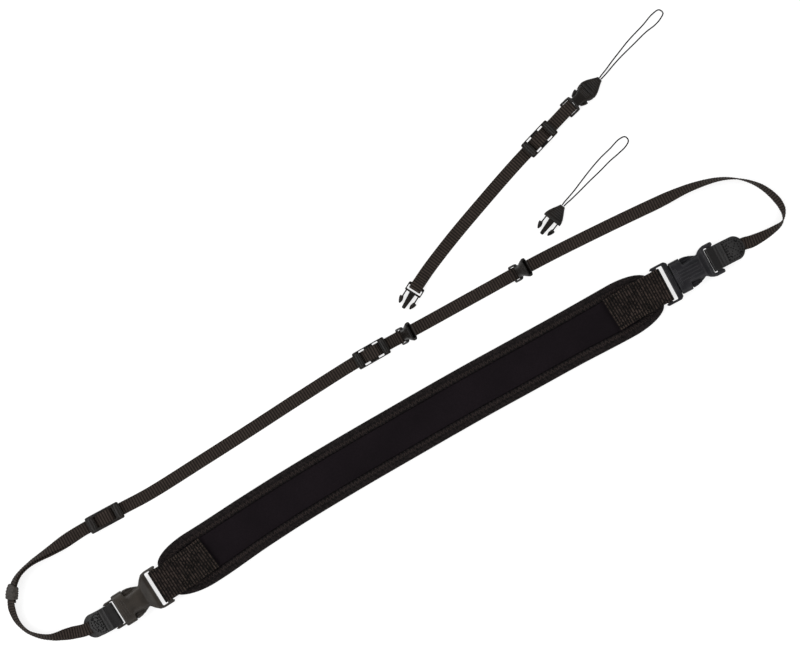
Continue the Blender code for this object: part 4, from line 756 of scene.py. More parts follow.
def bar_wrap(reach: float, half_width: float, half_height: float, clear: float, last: float = 270) -> Array:
    """Path of a strap round a bar, as (outward, up) pairs from the bar's middle.

    Args:
        reach: How far out the fold's back lies, without clear.
        half_width: Half the bar's width.
        half_height: Half its thickness.
        clear: From the bar's skin to the middle of the strap.
        last: The angle in degrees at which the last arc stops.

    Returns:
        Points on three arcs of radius clear, round the bar's corners.
    """
    corners = ((-reach, half_height, 90, 180), (-reach, -half_height, 180, 270), (half_width, -half_height, 270, last))
    arcs = []
    for outward, up, start, stop in corners:
        if stop > start:
            turn = np.radians(np.linspace(start, stop, 1 + math.ceil((stop - start) / 7)))
            arcs.append(np.stack([outward + clear * np.cos(turn), up + clear * np.sin(turn)], -1))
    return np.concatenate(arcs)


@dataclass
class Fold:
    """A strap folded round a bar: its path, and how its far end sways sideways."""

    bar: Place
    bar_height: float
    path: Array
    sway: float

    def __post_init__(self) -> None:
        """Measures how far the path goes from the bar."""
        self.reach = float(self.path[:, 0].max())

    def plan(self, outward: Array, left: Numbers = 0.0) -> Array:
        """Plan points at these distances from the bar, moved left by sway (out / reach)^2."""
        return self.bar.point(outward, left + self.sway * (np.maximum(outward, 0.0) / self.reach) ** 2)

    def strip(self, spacing: float) -> tuple[Array, Array, Array]:
        """The strap's centre line and left directions.

        Args:
            spacing: Distance between its points.

        Returns:
            Centres, sides, and each centre's distance along the strap.
        """
        path, _ = along_path(self.path, spacing)
        outward, up = path.T
        run = np.maximum(outward, 0.0)
        headings = self.bar.heading + np.arctan(2 * self.sway * run / self.reach**2)
        centres = raised(self.plan(outward), self.bar_height + up)
        return centres, left_of(headings), run_of(centres)


def pad_tab_fold(bar: Place, sway: float) -> tuple[Fold, float, float]:
    """The wide webbing between a buckle and the pad.

    Args:
        bar: The buckle's bar, facing the pad.
        sway: How far its hem lies to the side.

    Returns:
        The fold, how far the pad's end lies from the bar, and the height of its upper layer over the bar.
    """
    clear = GAP + SIZES.pad_web_thickness / 2
    half_width, half_height = SIZES.buckle_bar / 2, SIZES.frame_thickness / 2
    lower = PAD.thickness + clear - SIZES.buckle_height
    upper = lower + SIZES.pad_web_thickness + GAP
    wrap = bar_wrap(half_width, half_width, half_height, clear, 270 + math.degrees(SIZES.pad_tab_slope))
    join = float(wrap[-1, 0] + (lower - wrap[-1, 1]) / math.tan(SIZES.pad_tab_slope))
    outward = np.linspace(SIZES.pad_tab_length, 0.0, 160)
    top = ramps(outward, ((half_width, half_height + clear), (join + 6 * MM, upper)))
    back = ((join, lower), (SIZES.pad_tab_length - 1.5 * MM, lower))
    path = np.concatenate([np.stack([outward, top], -1), wrap, back])
    return Fold(bar, SIZES.buckle_height, path, sway), join, upper


def tab_middle(outward: Array) -> Array:
    """Height of the middle of a leather-look tab, from its bar down to where it lies."""
    low = FLOOR_GAP + SIZES.tab_thickness + GAP + SIZES.web_thickness / 2
    return ramps(outward, ((0.1 * SIZES.tab_length, SIZES.buckle_height), (SIZES.tab_length, low)))


class SlingPlan:
    """Where everything on the sling lies, worked out from the pad outwards.

    Necks and base are the solid lengths between a buckle's slot and its hollow or its prongs. web_start is
    where in the end tabs the webbing starts, and the shares are places along it. sockets holds (share of
    the length, tilt in degrees), route_points (share of half the span, share of loop_rise), and rolls
    (share of the length, tilt of the webbing in degrees).
    """

    left_bar_y = -5.5 * MM
    right_bar_y = -5.7 * MM
    left_turn = math.radians(1.35)
    right_turn = math.radians(-2.9)
    left_neck = 8.2 * MM
    right_neck = 6.4 * MM
    right_base = 4.5 * MM
    web_start = 0.55
    keeper_share = 0.1085
    slider_share = 0.2210
    ladder_share = 0.5080
    sockets = ((0.5378, 62.0), (0.6560, 56.0))
    loop_rise = 66.0 * MM
    left_sway = 2.0 * MM
    right_sway = -0.6 * MM
    tail_slip_most = 1.1 * MM
    tail_spread = 0.3
    keeper_length = 11.0 * MM
    keeper_wall = 0.9 * MM
    route_points = (
        (-1.029, -0.037), (-1.053, -0.000), (-1.078, 0.040), (-1.100, 0.101), (-1.117, 0.174),
        (-1.131, 0.266), (-1.139, 0.416), (-1.135, 0.563), (-1.122, 0.690), (-1.103, 0.800),
        (-1.077, 0.884), (-1.036, 0.936), (-0.972, 0.950), (-0.881, 0.951), (-0.803, 0.942),
        (-0.751, 0.929), (-0.672, 0.912), (-0.517, 0.928), (-0.360, 0.950), (-0.203, 0.977),
        (-0.028, 0.997), (0.063, 0.989), (0.166, 0.971), (0.343, 0.945), (0.522, 0.916),
        (0.699, 0.857), (0.846, 0.795), (0.961, 0.739), (1.039, 0.637), (1.083, 0.506),
        (1.117, 0.312), (1.134, 0.079), (1.132, -0.061), (1.117, -0.159), (1.080, -0.188),
        (1.022, -0.175),
    )
    rolls = (
        (0.000, 0), (0.024, 0), (0.030, 18), (0.037, 41), (0.046, 60), (0.055, 66), (0.065, 72),
        (0.074, 69), (0.083, 60), (0.093, 52), (0.108, 57), (0.118, 67), (0.129, 79), (0.138, 81),
        (0.148, 75), (0.157, 65), (0.166, 52), (0.175, 34), (0.185, 14), (0.195, 0), (0.770, 0),
        (0.800, 8), (0.811, 20), (0.820, 34), (0.829, 45), (0.838, 53), (0.848, 61), (0.858, 69),
        (0.867, 76), (0.877, 84), (0.886, 90), (0.896, 98), (0.905, 107), (0.915, 114), (0.924, 118),
        (0.933, 110), (0.942, 88), (0.952, 65), (0.962, 49), (0.971, 33), (0.978, 15), (0.984, 0),
        (1.000, 0),
    )

    def __init__(self) -> None:
        """Works the places out."""
        _, join, _ = pad_tab_fold(Place(0.0, 0.0, 0.0), 0.0)
        bar_x = PAD.length / 2 + join - PAD.tape_round
        skews = [SIZES.pad_web_width / 2 * abs(math.sin(turn)) for turn in (self.left_turn, self.right_turn)]
        self.left_pad_bar = Place(-bar_x - skews[0], self.left_bar_y, math.pi + self.left_turn)
        self.right_pad_bar = Place(bar_x + skews[1], self.right_bar_y, self.right_turn)
        band = SIZES.window_length + SIZES.mouth_length
        left_mouth = PAD_END.slot_end + self.left_neck + band
        self.left_tab_bar = self.left_pad_bar.ahead(left_mouth + PLUG_TAB_END.slot_end + GAP)
        self.right_shoulder = PAD_END.slot_end + self.right_base
        right_mouth = SOCKET_TAB_END.slot_end + self.right_neck + band
        self.right_tab_bar = self.right_pad_bar.ahead(self.right_shoulder + GAP + right_mouth)
        left_tip = self.left_tab_bar.point(SIZES.tab_length, -self.left_sway)
        right_tip = self.right_tab_bar.point(SIZES.tab_length, self.right_sway)
        middle, half = (left_tip[0] + right_tip[0]) / 2, (right_tip[0] - left_tip[0]) / 2
        inside = self.web_start * SIZES.tab_length
        start = self.left_tab_bar.point(inside, -self.left_sway * self.web_start**2)
        finish = self.right_tab_bar.point(inside, self.right_sway * self.web_start**2)
        points = [(middle + along * half, across * self.loop_rise) for along, across in self.route_points]
        self.route = Route([start, left_tip, *points, right_tip, finish])
        self.keeper_s, self.slider_s, self.ladder_s = (
            share * self.route.length for share in (self.keeper_share, self.slider_share, self.ladder_share)
        )

    def roll(self, s: Array) -> Array:
        """How far the webbing is tipped about its own length, in radians."""
        share, degrees = np.array(self.rolls).T
        return np.radians(np.interp(s / self.route.length, share, degrees))

    def tail_slip(self, s: Array) -> Array:
        """How far the tail hangs out sideways between the ring and the slider."""
        start, stop = self.keeper_s + 0.75 * self.keeper_length + 2 * MM, self.slider_s - 16.5 * MM
        return ramps(s, ((start, 0.0), ((start + stop) / 2, self.tail_slip_most), (stop, 0.0)))

    def tail_drop(self, s: Array) -> Array:
        """How far under the webbing the tail's middle lies."""
        return SIZES.layer + self.tail_spread * self.tail_slip(s)

    def doubled(self, s: Array) -> Array:
        """How much of the tail lies under the webbing, from 0 to 1."""
        start, ramp = self.keeper_s - self.keeper_length, 6 * MM
        return ramps(s, ((start - ramp, 0.0), (start, 1.0), (self.slider_s, 1.0), (self.slider_s + ramp, 0.0)))

    def lift_alone(self, s: Array) -> Array:
        """Height gained over the tail, and where the keeper ring holds both layers up."""
        across = SIZES.web_width / 2 + GAP + self.keeper_wall
        through = SIZES.web_thickness + 1.5 * GAP + self.keeper_wall + SIZES.layer / 2
        roll = float(self.roll(np.array([self.keeper_s]))[0])
        sin, cos = math.sin(roll), math.cos(roll)
        web_rest = SIZES.web_width / 2 * sin + (SIZES.web_thickness / 2 + SIZES.layer) * cos
        ring_lift = across * sin + through * cos - web_rest + FLOOR_GAP
        ring = bump_at(s, self.keeper_s, 3 * self.keeper_length, 0.5 * self.keeper_length, ring_lift)
        return self.doubled(s) * self.tail_drop(s) * np.cos(self.roll(s)) + ring

    def lift(self, s: Array) -> Array:
        """All height gained over the webbing's own rest on the surface."""
        length, ramp = self.route.length, 5.6 * MM
        out, into, top = TAIL_SLIDER.hump(2 * SIZES.layer)
        hump = bump_at(s, self.slider_s, out, into, top)
        under = self.doubled(s) * SIZES.layer
        total = np.where(np.abs(s - self.slider_s) < out, np.maximum(hump, under), self.lift_alone(s))
        total = total + bump_at(s, self.ladder_s, *LADDER_SLIDER.hump(SIZES.layer))
        for share, pitch in self.sockets:
            over = FLOOR_GAP + 2 * tipped_reach(pitch) + GAP
            knots = ((-ramp, 0.0), (-0.16 * ramp, over), (0.1 * ramp, over), (0.9 * ramp, 0.0))
            total = total + ramps(s - share * length, knots)
        inside = (1 - self.web_start) * SIZES.tab_length
        shares = np.linspace(self.web_start, 1.0, 5)
        heights = tab_middle(shares * SIZES.tab_length) - SIZES.web_thickness / 2
        for start, sign in ((0.0, 1), (length, -1)):
            run = (s - start) * sign
            held = np.interp(run, (shares - shares[0]) * SIZES.tab_length, heights)
            total = total + np.where(run < inside, held, ramps(run, ((inside, heights[-1]), (inside + 9 * MM, 0.0))))
        return total

    def strip(self, s: Array, gained: Array, drop: Numbers = 0.0, slip: Numbers = 0.0) -> TwoArrays:
        """A strip that lies below the webbing's own line.

        Args:
            s: Distances along the route.
            gained: Height over the webbing's rest on the surface.
            drop: How far below the line.
            slip: How far to its right.

        Returns:
            Centres and left directions.
        """
        roll, headings = self.roll(s), self.route.headings(s)
        sides = left_of(headings, roll)
        up = np.cross(np.stack([np.cos(headings), np.sin(headings), 0 * s], -1), sides)
        rest = SIZES.web_width / 2 * np.abs(np.sin(roll)) + SIZES.web_thickness / 2 * np.abs(np.cos(roll))
        centres = raised(self.route.at(s), rest + gained)
        drop, slip = np.broadcast_to(drop, s.shape)[:, None], np.broadcast_to(slip, s.shape)[:, None]
        return centres - up * drop - sides * slip, sides


def tipped_reach(pitch: float) -> float:
    """How far a small socket's bar reaches above its middle when it is tipped by pitch degrees."""
    turn = math.radians(pitch)
    return SIZES.small_bar * (math.sin(turn) + math.cos(turn))


@dataclass(frozen=True)
class SliderSize:
    """A slider's plan: its length and half its width, and what its rails, solid ends and centre bar take."""

    length: float
    half_width: float
    rail: float
    end_plate: float
    centre: float

    def hump(self, deck: float) -> tuple[float, float, float]:
        """Half the reach of the webbing's hump over a frame at height deck, half its level part, and its height."""
        return self.length / 2 - self.end_plate - 0.2 * MM, self.centre / 2 + 0.35 * MM, deck + 1.65 * MM + GAP


TAIL_SLIDER = SliderSize(29.0 * MM, 6.9 * MM, 2.25 * MM, 6.2 * MM, 8.2 * MM)
LADDER_SLIDER = SliderSize(28.0 * MM, 7.1 * MM, 0.9 * MM, 5.6 * MM, 7.4 * MM)


# Finishes


def paint(red: int, green: int, blue: int) -> tuple[float, float, float, float]:
    """A colour picked on a screen, from 0 to 255, as light: ((c + .055) / 1.055)^2.4."""
    light = [c / 3294.6 if c < 11 else ((c / 255 + 0.055) / 1.055) ** 2.4 for c in (red, green, blue)]
    return (*light, 1.0)


@dataclass
class Recipe:
    """Puts a material's nodes together: its name, and how wide and how strong its gloss is."""

    name: str
    roughness: float
    specular: float

    def __post_init__(self) -> None:
        """Starts the material."""
        self.material = bpy.data.materials.new(self.name)
        self.material.use_nodes = True
        self.tree = self.material.node_tree
        self.shader = self.tree.nodes["Principled BSDF"]
        self.shade({"Roughness": self.roughness, "Specular IOR Level": self.specular})

    def node(self, kind: str, inputs: dict | None = None, **settings: object) -> bpy.types.Node:
        """A new node with these settings, and with its inputs linked to sockets or given plain values."""
        made = self.tree.nodes.new(kind)
        for key, value in settings.items():
            setattr(made, key, value)
        self.feed(made, inputs or {})
        return made

    def feed(self, node: bpy.types.Node, inputs: dict) -> None:
        """Links a node's inputs to sockets, or gives them plain values."""
        for key, value in inputs.items():
            if isinstance(value, Socket):
                self.tree.links.new(value, node.inputs[key])
            else:
                node.inputs[key].default_value = value

    def shade(self, inputs: dict) -> None:
        """Feeds the shader itself."""
        self.feed(self.shader, inputs)

    def math(self, operation: str, *values: Value) -> Socket:
        """One step of arithmetic."""
        return self.node("ShaderNodeMath", dict(enumerate(values)), operation=operation).outputs[0]

    def space(self, stretch: Sequence[float] = (1.0, 1.0, 1.0)) -> Socket:
        """The piece's own coordinates, in millimetres, stretched along each axis."""
        own = self.node("ShaderNodeTexCoord").outputs["Object"]
        return self.node("ShaderNodeMapping", {"Vector": own, "Scale": [1000 * s for s in stretch]}).outputs[0]

    def parts(self, vector: Socket) -> bpy.types.NodeOutputs:
        """A vector's three numbers."""
        return self.node("ShaderNodeSeparateXYZ", {0: vector}).outputs

    def surface(self) -> tuple[Socket, Socket, Socket]:
        """Distances along and across the piece's skin in millimetres, and both as a vector."""
        read = self.node("ShaderNodeUVMap", uv_map=UV_NAME).outputs[0]
        along, across, _ = self.parts(read)
        return along, across, read

    def noise(self, vector: Socket, scale: float, detail: float = 3.0) -> Socket:
        """Soft noise, from about 0.3 to 0.7."""
        return self.node("ShaderNodeTexNoise", {"Vector": vector, "Scale": scale, "Detail": detail}).outputs[0]

    def wave(self, value: Socket, pitch: float, shift: Value = 0.0) -> Socket:
        """A wave from 0 to 1 that repeats every pitch millimetres: (1 + cos 2 pi (v / pitch + shift)) / 2."""
        turn = self.math("ADD", self.math("DIVIDE", value, pitch), shift)
        return self.math("MULTIPLY_ADD", self.math("COSINE", self.math("MULTIPLY", turn, 2 * math.pi)), 0.5, 0.5)

    def between(self, share: Socket, low: float, high: float) -> Socket:
        """The share read as a part of the way from low to high, and kept from 0 to 1."""
        return self.node("ShaderNodeMapRange", dict(enumerate((share, low, high, 0.0, 1.0)))).outputs[0]

    def blend(self, share: Value, first: object, second: object) -> Socket:
        """A colour part of the way from the first to the second."""
        return self.node("ShaderNodeMix", {0: share, 6: first, 7: second}, data_type="RGBA").outputs[2]

    def colour(self, value: Socket) -> None:
        """Gives the piece its colour."""
        self.shade({"Base Color": value})

    def gloss(self, share: Socket, low: float, high: float) -> None:
        """Roughness from low to high with the share."""
        self.shade({"Roughness": self.math("MULTIPLY_ADD", share, high - low, low)})

    def relief(self, height: Socket, depth: float) -> None:
        """Bumps of this depth in metres."""
        bump = self.node("ShaderNodeBump", {"Strength": 1.0, "Distance": depth, "Height": height})
        self.shade({"Normal": bump.outputs[0]})

    def sheen(self, weight: float, colour: tuple, roughness: float = 0.5) -> None:
        """The soft glow of loose fibres at the edges."""
        self.shade({"Sheen Weight": weight, "Sheen Roughness": roughness, "Sheen Tint": colour})


@dataclass(frozen=True)
class Finish:
    """What every finish has: a name, the record's slot and two colours."""

    name: str
    slot: str
    dark: tuple
    light: tuple

    def toned(self, share: float) -> tuple:
        """The lighter colour, this many times as bright."""
        return (*(share * c for c in self.light[:3]), 1.0)

    def mix(self) -> Recipe:
        """Makes the material's nodes."""
        raise NotImplementedError

    def material(self) -> bpy.types.Material:
        """The material, made once."""
        return bpy.data.materials.get(self.name) or self.mix().material


@dataclass(frozen=True)
class Webbing(Finish):
    """Woven tape: cross ribs with yarns that float over them, a fleck of brown, and painted shade in the grooves
    between ribs and yarns.
    """

    weave: Weave = Weave.RIBBED
    rib: float = 2.17
    yarn: float = 0.9
    float_share: float = 0.45
    uneven: float = 0.35

    def mix(self) -> Recipe:
        """Yarns run along the strap and change places at each rib."""
        make = Recipe(self.name, 0.8, 0.1)
        along, across, both = make.surface()
        rib = make.between(make.wave(along, self.rib, 0.5), 0.1, 0.85)
        crossing = make.math("FLOOR", make.math("DIVIDE", along, self.rib))
        twill = self.weave is Weave.TWILL
        half_turn = make.math("DIVIDE", along, 2 * self.yarn) if twill else make.math("MULTIPLY", crossing, 0.5)
        yarn = make.wave(across, self.yarn, half_turn)
        over, under, share = (yarn, rib, 0.6) if twill else (rib, yarn, self.float_share)
        height = make.math("MULTIPLY", over, make.math("MULTIPLY_ADD", under, share, 1 - share))
        fibre = make.noise(both, 3.1, 4.0)
        patch = make.between(make.noise(make.space(), 0.05, 2.0), 0.35, 0.65)
        lane = make.math("FLOOR", make.math("ADD", make.math("DIVIDE", across, self.yarn), half_turn))
        cell = make.node("ShaderNodeCombineXYZ", {0: crossing, 1: lane}).outputs[0]
        chance = make.node("ShaderNodeTexWhiteNoise", {"Vector": cell}, noise_dimensions="2D")
        uneven = make.math("MULTIPLY_ADD", chance.outputs["Value"], self.uneven, 1 - 0.6 * self.uneven)
        # Painted shade and light: the colour follows the weave's height, darker in the grooves between ribs and yarns
        # and lighter on their tops, times the fibre noise.
        lit = make.math("MULTIPLY", make.math("MULTIPLY_ADD", height, 0.95, 0.03), make.between(fibre, 0.15, 0.65))
        shade = make.math("MULTIPLY", lit, uneven)
        warm = make.blend(patch, self.light, self.toned(0.86))
        make.colour(make.blend(shade, self.dark, warm))
        make.gloss(fibre, 0.72, 0.95)
        make.relief(make.math("ADD", height, make.math("MULTIPLY", fibre, 0.25)), 0.00022)
        make.sheen(0.04, self.light)
        return make


@dataclass(frozen=True)
class PadPanel(Finish):
    """Smooth knit over foam, with a very fine twill line, painted shade between its loops and slow changes of tone."""

    line: float = 0.9

    def mix(self) -> Recipe:
        """Fine loops in rows, laid slantwise over the pad."""
        make = Recipe(self.name, 0.85, 0.06)
        space = make.space()
        x, y, _ = make.parts(space)
        slant = make.math("ADD", x, make.math("MULTIPLY", y, 0.8))
        loops = make.math("MULTIPLY", make.wave(slant, self.line), make.wave(y, self.line * 0.7))
        fibre = make.noise(space, 1.7, 5.0)
        tone = make.between(make.noise(space, 0.03, 2.0), 0.35, 0.65)
        # Painted shade: the colour is darker in the gaps between the knit loops, times the fibre noise; the tone below
        # is random.
        lit = make.math("MULTIPLY", make.math("MULTIPLY_ADD", loops, 0.6, 0.3), make.between(fibre, 0.15, 0.7))
        shade = make.math("MULTIPLY", lit, make.math("MULTIPLY_ADD", tone, 0.4, 0.6))
        make.colour(make.blend(shade, self.dark, self.light))
        make.gloss(fibre, 0.74, 0.95)
        make.relief(make.math("ADD", loops, make.math("MULTIPLY", fibre, 0.5)), 0.00006)
        make.sheen(0.02, self.light, 0.4)
        return make


@dataclass(frozen=True)
class Leather(Finish):
    """Leather-look sheet: fine grain, worn a little glossier on its high places."""

    cell: float = 0.6

    def mix(self) -> Recipe:
        """Rounded cells with creases between them, and painted shade that darkens the creases."""
        make = Recipe(self.name, 0.36, 0.34)
        space = make.space()
        cells = make.node("ShaderNodeTexVoronoi", {"Vector": space, "Scale": 1 / self.cell}, feature="F1")
        grain = make.between(cells.outputs["Distance"], 0.85, 0.1)
        worn = make.between(make.noise(space, 0.22, 4.0), 0.4, 0.68)
        pores = make.noise(space, 2.6, 3.0)
        # Painted shade: the grain term makes the colour darker in the creases between cells and lighter on their tops;
        # worn is random tone.
        shade = make.math("MULTIPLY_ADD", worn, 0.7, make.math("MULTIPLY", grain, 0.3))
        make.colour(make.blend(shade, self.dark, self.light))
        make.gloss(make.math("SUBTRACT", 1.0, make.math("MULTIPLY", grain, worn)), 0.26, 0.42)
        make.relief(make.math("ADD", grain, make.math("MULTIPLY", pores, 0.4)), 0.00003)
        return make


@dataclass(frozen=True)
class Plastic(Finish):
    """Moulded nylon: a fine spark-etched texture, scuffed here and there."""

    texture: float = 4.5
    rough: float = 0.34

    def mix(self) -> Recipe:
        """Etched grain under slow changes of tone and small scuffs."""
        make = Recipe(self.name, self.rough, 0.26)
        space = make.space()
        etched = make.noise(space, self.texture, 4.0)
        tone = make.between(make.noise(space, 0.12, 3.0), 0.32, 0.68)
        scuffs = make.between(make.noise(make.space((1.0, 0.25, 1.0)), 0.9, 5.0), 0.66, 0.84)
        base = make.blend(tone, self.dark, self.light)
        make.colour(make.blend(make.math("MULTIPLY", scuffs, 0.3), base, self.toned(1.4)))
        dull = make.math("MULTIPLY_ADD", etched, 0.6, make.math("MULTIPLY", scuffs, 0.4))
        make.gloss(dull, self.rough - 0.1, self.rough + 0.12)
        make.relief(make.math("ADD", etched, make.math("MULTIPLY", scuffs, 0.3)), 0.00006)
        return make


@dataclass(frozen=True)
class Rubber(Finish):
    """The keeper ring's rubber: matt, dusty in its grooves."""

    def mix(self) -> Recipe:
        """Fine pores and paler dust."""
        make = Recipe(self.name, 0.6, 0.2)
        space = make.space()
        pores, dust = make.noise(space, 4.0, 4.0), make.between(make.noise(space, 0.5, 3.0), 0.3, 0.7)
        make.colour(make.blend(dust, self.dark, self.light))
        make.gloss(pores, 0.6, 0.85)
        make.relief(pores, 0.00005)
        return make


@dataclass(frozen=True)
class Braid(Finish):
    """Braided cord, or twisted thread: strands that cross at a slant."""

    strand: float = 0.55
    rough: float = 0.75

    def mix(self) -> Recipe:
        """Two sets of strands that wind round in opposite directions, with painted shade between the strands."""
        make = Recipe(self.name, self.rough, 0.12)
        along, across, both = make.surface()
        one = make.wave(make.math("ADD", along, across), self.strand)
        other = make.wave(make.math("SUBTRACT", along, across), self.strand)
        height = make.math("MAXIMUM", one, other)
        fibre = make.noise(both, 4.0, 3.0)
        # Painted shade: the colour darkens between the strands, times the fibre noise.
        make.colour(make.blend(make.math("MULTIPLY", height, make.between(fibre, 0.2, 0.8)), self.dark, self.light))
        make.gloss(fibre, self.rough - 0.1, self.rough + 0.15)
        make.relief(height, 0.00008)
        return make


@dataclass(frozen=True)
class Paper(Finish):
    """The plain pale ground that the strap lies on."""

    def mix(self) -> Recipe:
        """Nearly white, with a trace of tooth, and lit a little from behind as on a light table."""
        make = Recipe(self.name, 0.9, 0.1)
        make.shade({"Emission Color": (1.0, 1.0, 1.0, 1.0), "Emission Strength": 0.74})
        tooth = make.noise(make.space(), 0.4, 3.0)
        make.colour(make.blend(tooth, self.dark, self.light))
        return make


WEBBING = Webbing("woven_webbing", "webbing", paint(20, 17, 15), paint(74, 64, 58))
WIDE_WEBBING = Webbing(
    "wide_webbing", "webbing", paint(2, 2, 2), paint(72, 61, 55), yarn=1.3, float_share=0.6, uneven=1.3
)
TAPE = Webbing("binding_tape", "pad_tape", paint(2, 2, 2), paint(56, 48, 48), Weave.TWILL, 1.2, 1.3, uneven=1.2)
PANEL = PadPanel("pad_knit", "pad_panel", paint(10, 7, 9), paint(36, 29, 34))
LEATHER = Leather("tab_leather", "leather_tab", paint(6, 5, 5), paint(20, 18, 17))
# The two buckles are one plastic: the left copy is painted lighter and warmer and the right copy darker and cooler, as
# painted light and shade that fall differently on the two ends.
LEFT_PLASTIC = Plastic("left_buckle_nylon", "buckle_plastic", paint(36, 32, 28), paint(49, 44, 39))
RIGHT_PLASTIC = Plastic("right_buckle_nylon", "buckle_plastic", paint(20, 20, 23), paint(33, 32, 35))
HARDWARE = Plastic("hardware_nylon", "hardware_plastic", paint(14, 12, 10), paint(27, 23, 20))
KEEPER_RUBBER = Rubber("ring_rubber", "keeper_rubber", paint(40, 37, 35), paint(66, 61, 57))
CORD = Braid("braided_cord", "cord", paint(3, 3, 3), paint(20, 18, 18))
COVER_THREAD = Braid("cover_thread", "pad_tape", paint(20, 16, 15), paint(76, 64, 60), 0.3, 0.6)
DARK_THREAD = Braid("dark_thread", "pad_tape", paint(3, 3, 3), paint(14, 12, 12), 0.3, 0.6)
FLOOR = Paper("pale_ground", "", (0.35, 0.35, 0.35, 1.0), (0.38, 0.38, 0.38, 1.0))


def dress(piece: Piece, finish: Finish, *nodes: str) -> Piece:
    """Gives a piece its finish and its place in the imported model.

    Args:
        piece: The new piece.
        finish: What it is made of.
        nodes: The CAD nodes that it stands for.

    Returns:
        The piece.
    """
    piece.data.materials.clear()
    piece.data.materials.append(finish.material())
    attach(piece, "root")
    if nodes:
        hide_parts(*nodes)
    LOG.info("%s: %d faces, %s", piece.name, len(piece.data.polygons), finish.name)
    return piece


def place_moulding(name: str, node: str, shapes: Sequence[Shape], finish: Finish, matrix: Matrix) -> None:
    """Joins a moulding's shapes, carries them to their place and dresses them."""
    dress(finish_mesh(name, Shape.joined(shapes).moved(matrix)), finish, node)


def narrow_web(name: str, node: str, centres: Array, sides: Array) -> None:
    """Makes and dresses the narrow webbing along a path."""
    piece = strap(name, centres, sides, SIZES.web_width, SIZES.web_thickness, 5, SIZES.rib_height)
    dress(piece, WEBBING, node)


def stitches(name: str, starts: Array, ends: Array, thickness: float, finish: Finish) -> None:
    """Rows of single stitches as short threads that dive at both ends.

    A thread's middle stands 0.35 thickness out of the cloth and falls by 1 - (2t - 1)^4 to its ends.

    Args:
        name: The piece's name.
        starts: Where each stitch comes up, n x 3.
        ends: Where it goes down.
        thickness: Of the thread.
        finish: What the thread is made of.
    """
    t = np.array([0.0, 0.14, 0.5, 0.86, 1.0])
    turn = np.linspace(0, 2 * math.pi, 6)
    side, rise = np.cross(UP, unit(ends - starts)), (1 - (2 * t - 1) ** 4) * 0.75 - 0.4
    radius = thickness / 2 * np.sqrt(1 - 0.75 * (2 * t - 1) ** 4)
    centres = starts[:, None] + (ends - starts)[:, None] * t[:, None] + UP * (rise * thickness)[:, None]
    ring = np.cos(turn[:-1])[:, None] * side[:, None, None] + np.sin(turn[:-1])[:, None] * UP
    points = centres[:, :, None] + ring * radius[:, None, None]
    one, size = tube_faces(*points.shape[1:3], False), points[0, ..., 0].size
    faces = [[i + start for i in face] for start in range(0, len(starts) * size, size) for face in one]
    uv = np.tile(tube_uv(t, np.linspace(0, 1.3, len(turn)), False), (len(starts), 1, 1))
    uv[..., 0] *= np.linalg.norm(ends - starts, axis=1)[:, None] / MM
    dress(finish_mesh(name, Shape(points, faces, uv.reshape(-1, 2))), finish)


def seams(lines: Sequence[Array], pitch: float, share: float, closed: bool = False) -> TwoArrays:
    """Divides lines into stitches.

    Args:
        lines: Each line's corners, n x 3.
        pitch: From one stitch to the next.
        share: How much of the pitch a stitch takes.
        closed: Whether each line joins up.

    Returns:
        Starts and ends of all the stitches.
    """
    starts, ends = [], []
    for line in lines:
        line = looped(line) if closed else line
        along = run_of(line)
        count = max(1, round(along[-1] / pitch))
        at = (np.arange(count) + (1 - share) / 2) * along[-1] / count
        starts.append(read_at(at, along, line))
        ends.append(read_at(at + share * along[-1] / count, along, line))
    return np.concatenate(starts), np.concatenate(ends)


# The strap's own parts


